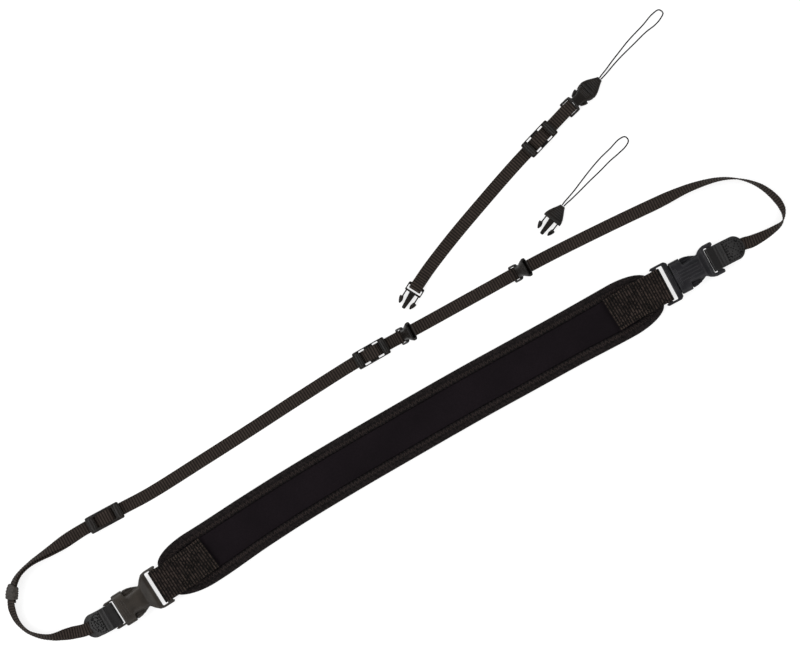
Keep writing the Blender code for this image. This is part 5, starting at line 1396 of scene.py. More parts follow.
@dataclass
class ShoulderPad:
    """The padded panel, the tape sewn round its edge, and two rows of stitches."""

    swell_most: float = 0.8 * MM
    frames: int = 20
    rows: tuple = (8.1 * MM, 4.2 * MM)
    pitch: float = 3.2 * MM
    tape_counts: tuple = (520, 40, 30)

    def panel(self) -> None:
        """The foam panel under its knit cover, swollen by a short cloth simulation.

        A profile of (inset, height) pairs goes from the underside round the sewn edge to the crown.
        """
        edge, run = PAD.tape_width + GAP, PAD.width / 2 - PAD.tape_width - GAP
        under = [(inset * MM, 0.05 * MM) for inset in (21.0, 17.0, 13.0, 10.0)]
        flange = [
            (edge, 0.05 * MM), (edge, 1.35 * MM), (4.0 * MM, 1.4 * MM), (3.2 * MM, 2.6 * MM), (4.0 * MM, 3.75 * MM),
            (edge - 0.3 * MM, 3.8 * MM), (edge, 4.3 * MM), (edge + 0.05 * MM, 4.85 * MM), (edge + 0.5 * MM, 5.1 * MM),
        ]
        shares = np.array([0.12, 0.22, 0.34, 0.48, 0.64, 0.8, 0.94])
        crown = np.stack([edge + shares * run, (5.5 - 0.28 * (1 - shares) ** 2) * MM], -1)
        profile = np.concatenate([under, flange, crown])
        flank, turns, ends = 240, 14, 8
        plans = [PAD.outline(inset, flank, turns, ends) for inset in profile[:, 0]]
        rings = np.stack([raised(plan, height) for plan, height in zip(plans, profile[:, 1])])
        side, count = flank + 2 * turns, rings.shape[1]
        last = np.arange(count)
        lower, upper = last[:side], last[side + ends : 2 * side + ends][::-1]
        bridge = np.stack([lower[:-1], lower[1:], upper[1:], upper[:-1]], -1).tolist()
        bridge += [last[side - 1 : side + ends + 1].tolist(), [*last[2 * side + ends - 1 :].tolist(), 0]]
        top = (len(rings) - 1) * count
        faces = tube_faces(*rings.shape[:2], False)[:-2]
        faces += [face[::-1] for face in bridge] + [[i + top for i in face] for face in bridge]
        piece = finish_mesh("pad_panel", Shape(rings, faces))
        inside = np.clip((np.repeat(profile[:, 0], count) - edge) / (5 * MM), 0, 1)
        free = np.where(rings[..., 2].ravel() > 4.5 * MM, inside, 0.0)
        self.swell(piece, free * self.swell_most)
        self.settle(piece, free)
        finer = piece.modifiers.new("finer", "SUBSURF")
        finer.levels = finer.render_levels = 1
        applied(piece)
        piece.data.shade_smooth()
        dress(piece, PANEL, "pad_core")

    def swell(self, piece: Piece, most: Array) -> None:
        """Blows the cover up over its foam.

        Args:
            piece: The panel.
            most: How far each point may move, nothing where the cover is sewn down.
        """
        start = shape_of(piece).points
        cloth = piece.modifiers.new("cover", "CLOTH")
        cloth.settings.quality = 5
        cloth.settings.use_pressure = True
        cloth.settings.uniform_pressure_force = 4.0
        cloth.settings.effector_weights.gravity = 0.0
        cloth.settings.tension_stiffness = 30.0
        cloth.point_cache.frame_start, cloth.point_cache.frame_end = 1, self.frames
        for number in range(1, self.frames + 1):
            bpy.context.scene.frame_set(number)
        applied(piece)
        bpy.context.scene.frame_set(1)
        moved = shape_of(piece).points - start
        far = np.linalg.norm(moved, axis=1)
        set_points(piece, start + moved * np.minimum(1.0, most / np.maximum(far, 1e-9))[:, None])

    @staticmethod
    def settle(piece: Piece, free: Array) -> None:
        """Gives the cover slow waves and the puckers of its seam, and keeps it under the tabs.

        Args:
            piece: The panel.
            free: How free each point is, from 0 to 1.
        """
        points = shape_of(piece).points
        x, y = points[:, 0] / MM, points[:, 1] / MM
        waves = 0.10 * np.sin(x / 19 + 0.6 * np.sin(y / 9)) + 0.06 * np.sin(x / 7.3 + y / 11 + 2)
        pucker = 0.11 * np.cos(2 * math.pi * x / 6.4) * np.exp(-((free - 0.12) ** 2) / 0.03)
        points[:, 2] += np.where(free > 0, (waves * free + pucker) * MM, 0.0)
        points[:, 2] = np.minimum(points[:, 2], 6.12 * MM)
        set_points(piece, points)

    def binding(self) -> None:
        """The tape round the edge, with the dimples that its stitches pull."""
        height, edge, low = PAD.edge_height, PAD.tape_width, PAD.edge_height - PAD.tape_thickness
        knots = np.array(((1.44, 0.0), (0.4, 0.10), (0.05, 0.30), (0.0, 0.42), (0.29, 0.70), (1.0, 0.90), (2.4, 1.0)))
        outer = smooth_curve(np.linspace(0, 6, 19), range(7), knots * (MM, height))
        top = np.linspace(PAD.tape_round, edge, 22)[1:]
        inner = ((edge, low), (1.0 * MM, low), (1.0 * MM, 1.0 * MM), (edge, 1.0 * MM), (edge, 0.0), (5.0 * MM, 0.0))
        profile = np.concatenate([outer, np.column_stack([top, np.full(len(top), height)]), inner])
        plans = np.stack([PAD.outline(inset, *self.tape_counts) for inset in profile[:, 0]], 1)
        along = run_of(looped(plans[:, len(outer) + 1]))[:-1]
        order = np.arange(len(profile)) - len(outer)
        on_top = (order >= 0) & (order < len(top))
        heights = np.broadcast_to(profile[:, 1], plans.shape[:2]).copy()
        for row in self.rows:
            valley = np.exp(-(((profile[:, 0] - row) / (0.55 * MM)) ** 2)) * on_top
            pull = 0.12 + 0.12 * np.cos(2 * math.pi * along / self.pitch)
            heights -= valley * pull[:, None] * MM
        puff = np.sin(math.pi * np.clip((profile[:, 0] - 1.2 * MM) / (4.2 * MM), 0, 1)) * on_top
        heights += puff * (0.16 + 0.07 * np.cos(2 * math.pi * along / (2.9 * self.pitch)))[:, None] * MM
        rings = np.concatenate([plans, heights[..., None]], -1)
        dress(tube("pad_edge_tape", rings, loop=True), TAPE, "pad_binding")

    def stitching(self) -> None:
        """A cover stitch: dark needle rows, and looper threads that cross from row to row."""
        level = PAD.edge_height - 0.06 * MM
        inner, outer = (PAD.outline(row, *self.tape_counts) for row in self.rows)
        rows = [raised(plan, level - 0.08 * MM) for plan in (inner, outer)]
        needles = seams(rows, self.pitch, 0.5, closed=True)
        stitches("pad_needle_stitches", *needles, 0.9 * MM, DARK_THREAD)
        ring = run_of(looped(inner))
        count = round(ring[-1] / self.pitch)
        at = (np.arange(count)[:, None] + (0.0, 0.5, 1.0)) * ring[-1] / count
        near, far = (read_at(at, ring, looped(plan)) for plan in (inner, outer))
        starts, ends = np.concatenate([near[:, 0], far[:, 1]]), np.concatenate([far[:, 1], near[:, 2]])
        threads = [raised((1 - cut) * starts + cut * ends, level) for cut in (0.13, 0.87)]
        stitches("pad_cover_threads", *threads, 0.55 * MM, COVER_THREAD)

    def build(self) -> None:
        """Makes the whole pad."""
        self.panel()
        self.binding()
        self.stitching()


@dataclass
class PadTab:
    """Wide webbing folded round a buckle's bar and sewn down on the pad.

    sewn holds its lines of stitches as (first and last place outward, first and last place to the left),
    numbered from the bar and from the right edge.
    """

    side: str
    bar: Place
    sway: float
    sewn: tuple = (
        (1, 4, 1, 1), (1, 4, 4, 4), (1, 1, 4, 1), (2, 5, 0, 3), (2, 5, 5, 2), (0, 3, 2, 5), (0, 3, 3, 0),
        (0, 5, 0, 0), (5, 5, 0, 5), (5, 0, 5, 5), (0, 0, 5, 0), (0, 5, 0, 5), (0, 5, 5, 0), (6, 6, 0, 5),
    )

    def build(self) -> None:
        """Makes the webbing and its box of stitches."""
        fold, join, upper = pad_tab_fold(self.bar, self.sway)
        centres, sides, _ = fold.strip(SIZES.rib_pitch / 6)
        width, thickness = SIZES.pad_web_width, SIZES.pad_web_thickness
        piece = strap(f"{self.side}_pad_tab_web", centres, sides, width, thickness, 14, SIZES.rib_height)
        dress(piece, WIDE_WEBBING, f"{self.side}_pad_tab")
        near, far, half, step = join + 7.5 * MM, SIZES.pad_tab_length - 3.0 * MM, width / 2 - 2.2 * MM, 1.5 * MM
        out = (near, near + step, near + 2 * step, far - 2 * step, far - step, far, far + step)
        left = (-half, step - half, 2 * step - half, half - 2 * step, half - step, half)
        level = SIZES.buckle_height + upper + thickness / 2 - 0.05 * MM
        lines = []
        for a, b, c, d in self.sewn:
            line = np.linspace((out[a], left[c]), (out[b], left[d]), 12)
            lines.append(raised(fold.plan(*line.T), level))
        stitches(f"{self.side}_pad_tab_stitches", *seams(lines, 2.3 * MM, 0.62), 0.7 * MM, DARK_THREAD)


@dataclass
class EndTab:
    """A leather-look tab folded round a buckle's bar and sewn over the end of the narrow webbing."""

    side: str
    bar: Place
    sway: float
    longer: Layer
    slack: float = 0.0

    def profile(self, length: float, sign: int) -> Array:
        """One layer's path, from its round end to the bar, as (outward, up) pairs."""
        outward = np.linspace(length, 0, 90)
        return np.stack([outward, tab_middle(outward) - SIZES.buckle_height + sign * self.spread(outward)], -1)

    @staticmethod
    def spread(outward: Array) -> Array:
        """How far a layer's middle lies from the middle of the tab: wide round the bar, close over the webbing."""
        high = SIZES.frame_thickness / 2 + GAP + SIZES.tab_thickness / 2
        apart = SIZES.web_thickness / 2 + 1.3 * GAP + SIZES.tab_thickness / 2
        knots = ((4.4 * MM, high + 0.5 * MM), (8.6 * MM, 0.5 * (high + apart)), (9.8 * MM, apart))
        return ramps(outward, ((SIZES.buckle_bar / 2, high), *knots))

    def build(self) -> None:
        """Makes the folded sheet and its stitches."""
        half_width, half_height = SIZES.buckle_bar / 2, SIZES.frame_thickness / 2
        long, short = SIZES.tab_length, SIZES.tab_length - SIZES.tab_step
        top, low = (long, short) if self.longer is Layer.UPPER else (short, long)
        wrap = bar_wrap(half_width + self.slack, half_width, half_height, GAP + SIZES.tab_thickness / 2)
        path = np.concatenate([self.profile(top, 1)[:-1], wrap, self.profile(low, -1)[::-1][1:]])
        fold = Fold(self.bar, SIZES.buckle_height, path, self.sway)
        centres, sides, along = fold.strip(0.22 * MM)
        edge = np.minimum(along, along[-1] - along)
        share = 1 - np.minimum(edge / (0.42 * SIZES.tab_width), 1.0)
        width = SIZES.tab_width * np.sqrt(1 - 0.975 * share**2)
        piece = strap(f"{self.side}_end_tab_leather", centres, sides, width, SIZES.tab_thickness, 16)
        self.press(piece, sides, width)
        dress(piece, LEATHER, f"{self.side}_end_tab")
        self.sew(fold, top)

    @staticmethod
    def press(piece: Piece, sides: Array, width: Array) -> None:
        """Sinks a groove along the sheet's sewn edges: depth times e to the minus squared distance.

        Args:
            piece: The folded sheet.
            sides: The left direction at each station.
            width: The sheet's width there.
        """
        points = shape_of(piece).points.reshape(len(width), -1, 3)
        middle = points.mean(1, keepdims=True)
        up = unit(np.cross(np.gradient(middle[:, 0], axis=0), sides))
        across, height = (((points - middle) * way[:, None]).sum(-1) for way in (sides, up))
        from_edge = width[:, None] / 2 - np.abs(across)
        groove = 0.16 * MM * np.exp(-(((from_edge - 2.1 * MM) / (0.45 * MM)) ** 2))
        set_points(piece, points - up[:, None] * (np.sign(height) * groove)[..., None])

    def sew(self, fold: Fold, length: float) -> None:
        """A row round the edge, a box and a cross over the webbing inside."""
        half, start, stop, bend = SIZES.tab_width / 2 - 1.9 * MM, 10.4 * MM, length - 1.9 * MM, 6.6 * MM
        turn = np.radians(np.linspace(-90, 90, 25))
        arc = np.stack([stop - bend + bend * np.cos(turn), half * np.sin(turn)], -1)
        near, far, side = start + 1.4 * MM, stop - 2.6 * MM, half - 2.2 * MM
        a, b, c, d = (near, -side), (far, -side), (far, side), (near, side)
        lines = []
        for corners in ([(start, -half), *arc, (start, half), (start, -half)], (a, b, c, d, a), (a, c), (d, b)):
            fine, _ = along_path(np.array(corners), 0.6 * MM)
            level = tab_middle(fine[:, 0]) + self.spread(fine[:, 0]) + SIZES.tab_thickness / 2 - 0.02 * MM
            lines.append(raised(fold.plan(*fine.T), level))
        share = 0.56 if self.longer is Layer.UPPER else 0.82
        stitches(f"{self.side}_end_tab_stitches", *seams(lines, 2.2 * MM, share), 0.8 * MM, DARK_THREAD)


@dataclass
class NarrowWebbing:
    """The narrow webbing of the sling, its tail, and the ribbed ring that keeps the tail."""

    plan: SlingPlan

    @staticmethod
    def steps(start: float, stop: float) -> Array:
        """Distances along the route, six to a rib."""
        return np.linspace(start, stop, round((stop - start) / (SIZES.rib_pitch / 6)))

    def sling(self) -> None:
        """The long strap, from one end tab to the other."""
        s = self.steps(0.0, self.plan.route.length)
        narrow_web("sling_web", "sling_webbing", *self.plan.strip(s, self.plan.lift(s)))

    def tail(self) -> None:
        """The doubled end under it, from just before the ring to the slider's bar."""
        plan = self.plan
        s = self.steps(plan.keeper_s - 0.75 * plan.keeper_length, plan.slider_s)
        path = plan.strip(s, plan.lift_alone(s), plan.tail_drop(s), plan.tail_slip(s))
        narrow_web("tail_web", "webbing_tail", *path)

    def ring(self) -> None:
        """The ring: a rounded box section swept along both layers, with five ribs and a slight belly."""
        plan, t = self.plan, np.linspace(-1, 1, 61)
        s = plan.keeper_s + t * (plan.keeper_length / 2)
        centres, sides = plan.strip(s, plan.lift_alone(s), SIZES.layer / 2)
        up = unit(np.cross(np.gradient(centres, axis=0), sides))
        across, through = SIZES.web_width / 2 + GAP, SIZES.web_thickness + 1.5 * GAP
        y, z = rounded_box(48, 0.22, 0.5)
        belly, ribs = np.sqrt(np.maximum(1 - t**2, 0)), 0.5 - 0.5 * np.cos(5 * math.pi * (t + 1))
        wall = plan.keeper_wall * (0.6 + 0.4 * belly + 0.24 * ribs * np.sqrt(1 - t**6))
        outer, inner = (
            swept(centres, sides, up, np.outer(wide, y), np.outer(high, z))
            for wide, high in ((across + 1.7 * wall, through + wall), (across + 0 * wall, through + 0 * wall))
        )
        outer[..., 2] = np.maximum(outer[..., 2], 0.05 * MM)
        dress(tube("keeper_band", np.concatenate([outer, inner[::-1]]), loop=True), KEEPER_RUBBER, "keeper_ring")

    def build(self) -> None:
        """Makes all three."""
        self.sling()
        self.tail()
        self.ring()


@dataclass
class BuckleSocket:
    """The hollow half of a side-release buckle. Its own X axis runs from its bar to its mouth."""

    side: str
    place: Place
    end: StrapEnd
    neck: float
    finish: Finish
    long_ribs: bool
    wall: float = 2.2 * MM
    overhang: float = 1.2 * MM

    def build(self) -> None:
        """Makes the moulding with its slot, its hollow and its grip ribs."""
        end, half, frame = self.end, SIZES.buckle_thickness / 2, SIZES.frame_thickness / 2
        window = end.slot_end + self.neck
        band = window + SIZES.window_length
        mouth = band + SIZES.mouth_length
        waist, wide = SIZES.waist_width / 2, SIZES.mouth_width / 2
        back, out = -SIZES.buckle_bar / 2 - self.overhang, self.overhang
        knots = (
            (back, end.frame_half - 0.9 * out, 0.7 * frame),
            (back + 0.35 * out, end.frame_half - 0.25 * out, 0.94 * frame),
            (back + 0.9 * out, end.frame_half, frame), (end.slot_end - 0.5 * MM, end.frame_half, frame),
            (end.slot_end + 0.35 * self.neck, end.frame_half - 0.8 * MM, 1.15 * frame),
            (end.slot_end + 0.7 * self.neck, 0.5 * (waist + end.frame_half), 0.5 * (frame + half)),
            (window, waist + 0.3 * MM, 0.95 * half), (0.6 * window + 0.4 * band, waist - 0.3 * MM, half),
            (band - 1.8 * MM, waist - 1.1 * MM, half), (band - 0.5 * MM, waist - 0.7 * MM, half), (band, wide, half),
            (mouth - 0.8 * MM, wide, half), (mouth, wide - 0.5 * MM, half - 0.4 * MM),
        )
        inner_half, inner_height, bar, far = wide - SIZES.side_wall, half - self.wall, SIZES.buckle_bar / 2, 24 * MM
        cutters = [
            block((window + GAP, -inner_half, -inner_height), (mouth + far, inner_half, inner_height)),
            block((bar, -end.slot_half, -far), (end.slot_end, end.slot_half, far)),
            block((back - far, -end.slot_half, -far), (-bar, end.slot_half, far)),
        ]
        body = moulded(self.side, [section_loft(knots)], cutters, 0.42 * MM, 5)
        shapes, matrix = [body, *self.ribs(window, band, mouth, half)], self.place.matrix(SIZES.buckle_height)
        place_moulding(f"{self.side}_socket_moulding", f"{self.side}_buckle_socket", shapes, self.finish, matrix)

    def ribs(self, window: float, band: float, mouth: float, half: float) -> list[Shape]:
        """Raised ribs on both faces: long ones down the body, or short ones across the mouth."""
        made = []
        for face in (1, -1):
            level, rise = face * (half - 0.12 * MM), (0.42 if face > 0 else 0.2) * MM
            if self.long_ribs:
                start, stop = window + 1.5 * MM, mouth - 3.2 * MM
                for left in (-3.9, -1.3, 1.3, 3.9):
                    made.append(ridge((start, left * MM, level), (stop, left * MM, level), 0.9 * MM, rise))
            for step in range(3):
                x = mouth - (1.5 + 0.95 * step) * MM if self.long_ribs else band + (2.3 + 1.9 * step) * MM
                made.append(ridge((x, -7.5 * MM, level), (x, 7.5 * MM, level), 0.62 * MM, 0.85 * rise))
        return made


@dataclass
class BuckleFork:
    """The pronged half of a side-release buckle. Its own X axis runs from its bar to its prongs."""

    side: str
    place: Place
    end: StrapEnd
    base: float
    mouth: float
    finish: Finish

    def build(self) -> None:
        """Makes the frame and prongs as a rounded plate, and thick heads on the prongs."""
        end, bar, corner = self.end, SIZES.buckle_bar / 2, 1.2 * MM
        shoulder, back = end.slot_end + self.base, -bar - 1.2 * MM
        start = self.mouth + SIZES.mouth_length + GAP
        stop = start + SIZES.window_length - 3 * GAP
        inner_half = SIZES.mouth_width / 2 - SIZES.side_wall
        stem_out = inner_half - 3 * GAP
        head = SIZES.mouth_width / 2 - 0.6 * MM
        half = [
            (-bar, end.slot_half), (back, end.slot_half), (back, end.frame_half - corner),
            (back + corner, end.frame_half), (shoulder - 0.5 * self.base, end.frame_half),
            (shoulder, end.frame_half - 0.4 * self.base),
        ]
        half += prong_half(
            shoulder, start, stop, stem_out, 2.2 * MM, head, 0.95 * SIZES.waist_width / 2,
            0.34 * inner_half, 0.26 * inner_half, start + 0.45 * SIZES.window_length,
        )
        outline = rounded_corners(mirror_half(half), 0.9 * MM)
        slot = rounded_corners(slot_outline(bar, end.slot_end, end.slot_half), 0.8 * MM)
        shapes = [round_plate(outline, [slot], SIZES.frame_thickness, 0.75 * MM), *self.heads(start, stop, head)]
        if self.side == "right":
            for x in np.linspace(shoulder - self.base + 0.9 * MM, shoulder - 0.9 * MM, 3):
                shapes += cross_ribs(x, 10 * MM, SIZES.frame_thickness / 2 - 0.05 * MM, 0.6 * MM, 0.3 * MM)
        matrix = self.place.matrix(SIZES.buckle_height)
        place_moulding(f"{self.side}_plug_moulding", f"{self.side}_buckle_plug", shapes, self.finish, matrix)

    @staticmethod
    def heads(start: float, stop: float, reach: float) -> list[Shape]:
        """The fuller parts of the prongs' heads, which fill the windows in the socket's sides."""
        run, inside = stop - start, SIZES.waist_width / 2 + 1.5 * MM
        half = [
            (start + 0.5 * MM, inside), (start + 0.5 * MM, 0.985 * reach), (start + 0.35 * run, 0.955 * reach),
            (start + 0.62 * run, inside + 0.4 * MM), (start + 0.6 * run, inside),
        ]
        return prong_heads(half, 0.5 * MM, 4, 6.6 * MM)


def slot_outline(start: float, stop: float, half: float) -> list[Pair]:
    """The corners of a slot across a plug's frame, clockwise."""
    return [(start, -half), (start, half), (stop, half), (stop, -half)]


def prong_heads(half: Sequence[Pair], corner: float, steps: int, thickness: float) -> list[Shape]:
    """Thick rounded plates on both sides of a plug, from the clockwise outline of the upper one."""
    outlines = (np.array(half)[::-1], np.array(half) * (1, -1))
    return [round_plate(rounded_corners(outline, corner, steps), [], thickness, 0.6 * MM) for outline in outlines]


def prong_half(
    shoulder: float, start: float, stop: float, stem_out: float, stem: float, head_out: float, tip: float,
    guide_root: float, guide_tip: float, reach: float,
) -> list[Pair]:
    """Upper half of a plug's prongs and guide, from its shoulder to the guide's tip.

    Args:
        shoulder: Where the prongs leave the frame.
        start: Where a prong's head starts.
        stop: Where it ends.
        stem_out: How far out the stems run.
        stem: Their width.
        head_out: How far out the heads reach.
        tip: How far out their tips are.
        guide_root: Half the guide's width at its root.
        guide_tip: Half its width near its tip.
        reach: Where the guide ends.

    Returns:
        The corners, in order.
    """
    head, stem_in = stop - start, stem_out - stem
    return [
        (shoulder, stem_out), (start, stem_out), (start + 0.04 * head, head_out),
        (start + 0.35 * head, 0.97 * head_out), (start + 0.72 * head, 0.45 * head_out + 0.55 * tip),
        (stop, tip), (stop, tip - 0.14 * head_out),
        (start + 0.55 * head, stem_in - 0.18 * head_out), (start + 0.15 * head, stem_in - 0.10 * head_out),
        (start - 0.10 * head, stem_in), (shoulder, stem_in), (shoulder, guide_root), (reach - 0.1 * head, guide_tip),
        (reach, 0.7 * guide_tip),
    ]


@dataclass
class Slider:
    """A slider: a rounded frame with one opening, and a centre bar that the webbing passes over."""

    name: str
    node: str
    place: Place
    deck: float
    size: SliderSize
    thickness: float = 2.4 * MM

    def build(self) -> None:
        """Makes the frame, its bar, and the rounded backs of its solid ends."""
        size, thick = self.size, self.thickness
        long, wide, inner, half = size.length / 2, size.half_width, size.half_width - size.rail, size.centre / 2
        frame = rounded_corners([(-long, -wide), (long, -wide), (long, wide), (-long, wide)], 1.5 * MM, 6)
        hole = rounded_corners(slot_outline(size.end_plate - long, long - size.end_plate, inner), 0.5 * MM)
        reach = inner + 0.5 * size.rail
        bar = rounded_corners([(-half, -reach), (half, -reach), (half, reach), (-half, reach)], 0.3 * MM)
        shapes = [
            round_plate(frame, [hole], thick, min(0.6 * MM, 0.45 * size.rail), thick / 2),
            round_plate(bar, [], 1.5 * MM, 0.5 * MM, 0.9 * MM),
        ]
        x, reach, top = long - size.end_plate / 2, wide - 0.7 * MM, thick - 0.15 * MM
        for sign in (1, -1):
            shapes.append(ridge((sign * x, -reach, top), (sign * x, reach, top), 0.66 * size.end_plate, 0.8 * MM))
        place_moulding(self.name, self.node, shapes, HARDWARE, self.place.matrix(self.deck))


@dataclass
class SmallSocket:
    """A small hollow socket on an open frame. Its own X axis runs from its outer bar to its mouth.

    A plugged one has a fuller waist and a closer frame, and its hollow reaches down to the waist.
    """

    name: str
    node: str
    place: Place
    height: float
    pitch: float = 0.0
    plugged: bool = False
    thickness: float = 5.0 * MM
    mouth_width: float = 15.6 * MM
    waist_width: float = 9.0 * MM
    mouth_length: float = 5.8 * MM
    window_length: float = 7.0 * MM
    crossbar: float = 2.0 * MM
    opening: float = 6.0 * MM
    bar: float = SIZES.small_bar
    arm: float = 0.95 * MM

    @property
    def mouth(self) -> float:
        """From the outer bar to the mouth."""
        return self.bar + self.opening + self.crossbar + self.window_length + self.mouth_length

    def build(self) -> None:
        """Makes the moulding."""
        bar, arm, half, wide = self.bar, self.arm, self.thickness / 2, self.mouth_width / 2
        frame, cross = (SIZES.web_width + SIZES.web_play) / 2 + 0.5 * MM + arm, bar + self.opening
        window = cross + self.crossbar
        band = window + self.window_length
        inner_half, inner_height, far, pocket = wide - 1.5 * MM, half - 0.85 * MM, 20 * MM, 0.23 * wide
        waist, slot_half = self.waist_width / 2, SIZES.web_width / 2
        if self.plugged:
            waist, slot_half, slot_end = waist + 0.5 * MM, slot_half + 0.2 * MM, cross - 0.4 * MM
            mouth, hollow = self.mouth + 0.22 * MM, window + 0.06 * self.window_length
        else:
            slot_half, slot_end, inner_half = slot_half + 0.35 * MM, cross, inner_half - 0.4 * MM
            mouth, hollow = self.mouth, band + 0.35 * self.mouth_length
        knots = (
            (-bar, frame - 0.5 * arm, 0.8 * bar), (-0.4 * bar, frame - 0.15 * arm, bar), (0.5 * bar, frame, bar),
            (cross + 0.2 * self.crossbar, frame, 1.1 * bar), (window - 0.1 * MM, frame - 0.4 * arm, 0.85 * half),
            (window + 0.04 * self.window_length, waist, 0.9 * half), (band - 0.25 * self.window_length, waist, half),
            (band, 0.74 * wide, half), (band + 0.5 * self.mouth_length, 0.9 * wide, half),
            (mouth - 0.4 * MM, wide, half), (mouth, wide - 0.3 * MM, half - 0.25 * MM),
        )
        start = window - 0.55 * self.crossbar
        cutters = [
            block((start, -pocket, -0.9 * inner_height), (band, pocket, 0.9 * inner_height)),
            block((hollow, -inner_half, -inner_height), (self.mouth + far, inner_half, inner_height)),
            block((bar, -slot_half, -far), (slot_end, slot_half, far)),
        ]
        shapes = [moulded(self.name, [section_loft(knots, 4.0, 0.35 * MM)], cutters, 0.27 * MM, 3)]
        for back in (1.2 * MM, 2.4 * MM, 3.6 * MM):
            shapes += cross_ribs(self.mouth - back, 4.2 * MM, half - 0.08 * MM, 0.5 * MM, 0.24 * MM)
        matrix = self.place.matrix(self.height, math.radians(self.pitch))
        place_moulding(self.name, self.node, shapes, HARDWARE, matrix)


SMALL = SmallSocket("", "", Place(0.0, 0.0, 0.0), 0.0)


def small_prongs(shoulder: float, sunk: float = 0.0) -> list[Pair]:
    """Upper half of a small plug's prongs, with roots that reach back by sunk."""
    stop = shoulder + SMALL.mouth_length + 0.8 * SMALL.window_length
    start = shoulder + SMALL.mouth_length - 0.06 * SMALL.window_length
    out = SMALL.mouth_width / 2
    stem_out = out - 1.5 * MM - GAP
    return prong_half(
        shoulder - sunk, start, stop, stem_out, 1.1 * MM, out - 0.2 * MM, 0.68 * out,
        0.42 * stem_out, 0.24 * stem_out, shoulder + 13.8 * MM - GAP,
    )


def small_heads(shoulder: float, inner: float) -> list[Shape]:
    """Thicker middles on both prong heads of a small plug, from the share inner of their reach outwards."""
    start, out = shoulder + SMALL.mouth_length, SMALL.mouth_width / 2 - 0.5 * MM
    half = [
        (start, inner * out), (start, out), (start + 2.2 * MM, 0.95 * out), (start + 4.6 * MM, 0.72 * out),
        (start + 4.0 * MM, inner * out),
    ]
    return prong_heads(half, 0.9 * MM, 5, 3.1 * MM)


@dataclass
class LoopPlug:
    """A cord-loop plug: a flat triangular body with grip ribs, a collar, and prongs."""

    name: str
    node: str
    place: Place
    height: float
    body: float = 14.2 * MM
    thickness: float = 4.4 * MM
    tip_width: float = 4.4 * MM
    flank: tuple = (
        (1.0, 0.0), (0.9, 0.1), (0.78, 0.26), (0.64, 0.47), (0.5, 0.66), (0.38, 0.81), (0.26, 0.92), (0.14, 1.0),
        (0.0, 1.0),
    )
    grips: tuple = ((0.30, 0.62), (0.42, 0.52), (0.54, 0.42), (0.66, 0.30), (0.78, 0.16))

    def build(self) -> None:
        """Makes the body, the collar and the prongs. Its own X axis starts at the shoulder."""
        wide, tip, level = SMALL.mouth_width / 2, self.tip_width / 2, self.thickness / 2 - 0.1 * MM
        half = [(-along * self.body, tip + swell * (wide - tip)) for along, swell in self.flank]
        body = round_plate(rounded_corners(mirror_half(half), 0.8 * MM), [], self.thickness, 1.1 * MM)
        fork = mirror_half([(-0.3 * self.body, 0.7 * wide), *small_prongs(0.0, 0.6 * MM)])
        prongs = round_plate(rounded_corners(fork, 0.4 * MM), [], 2.4 * MM, 0.4 * MM)
        shapes = [body, prongs, *small_heads(0.0, 0.7)]
        for along, swell in self.grips:
            shapes += cross_ribs(-along * self.body, tip * 0.6 + swell * (wide - tip), level, 0.75 * MM, 0.36 * MM)
        shapes += cross_ribs(-0.12 * self.body, 0.86 * wide, level, 1.5 * MM, 0.3 * MM)
        place_moulding(self.name, self.node, shapes, HARDWARE, self.place.matrix(self.height))


@dataclass
class CordLoop:
    """A cord that leaves a plug's end and comes back to it.

    route holds (along the plug's axis, to its left, share of the way up to the axis), in millimetres.
    """

    name: str
    node: str
    exit: Place
    axis_height: float
    route: tuple
    plug: str
    diameter: float = 1.0 * MM

    def build(self) -> None:
        """Makes the cord as a round tube with a braid's small swellings."""
        rest = self.diameter / 2 + FLOOR_GAP
        table = np.array(self.route) * (MM, MM, 1.0)
        heights = rest + table[:, 2] * (self.axis_height - rest)
        points = raised(self.exit.point(table[:, 0], table[:, 1]), heights)
        knots = run_of(points, 0.5)
        line, _ = along_path(smooth_curve(np.linspace(0, knots[-1], 900), knots, points), 0.28 * MM)
        line[:, 2] = np.maximum(line[:, 2], rest)
        ahead = unit(np.gradient(line, axis=0))
        side = unit(np.cross(ahead, UP))
        up, along = np.cross(side, ahead), run_of(line)
        turn = np.linspace(0, 2 * math.pi, 13)[:-1]
        radius = self.diameter / 2 * (1.03 + 0.05 * np.cos(2 * math.pi * along[:, None] / (1.4 * MM) + 2 * turn))
        rings = swept(line, side, up, radius * np.cos(turn), radius * np.sin(turn))
        piece = dress(tube(self.name, rings, np.linspace(0, math.pi * self.diameter / MM, 13)), CORD, self.node)


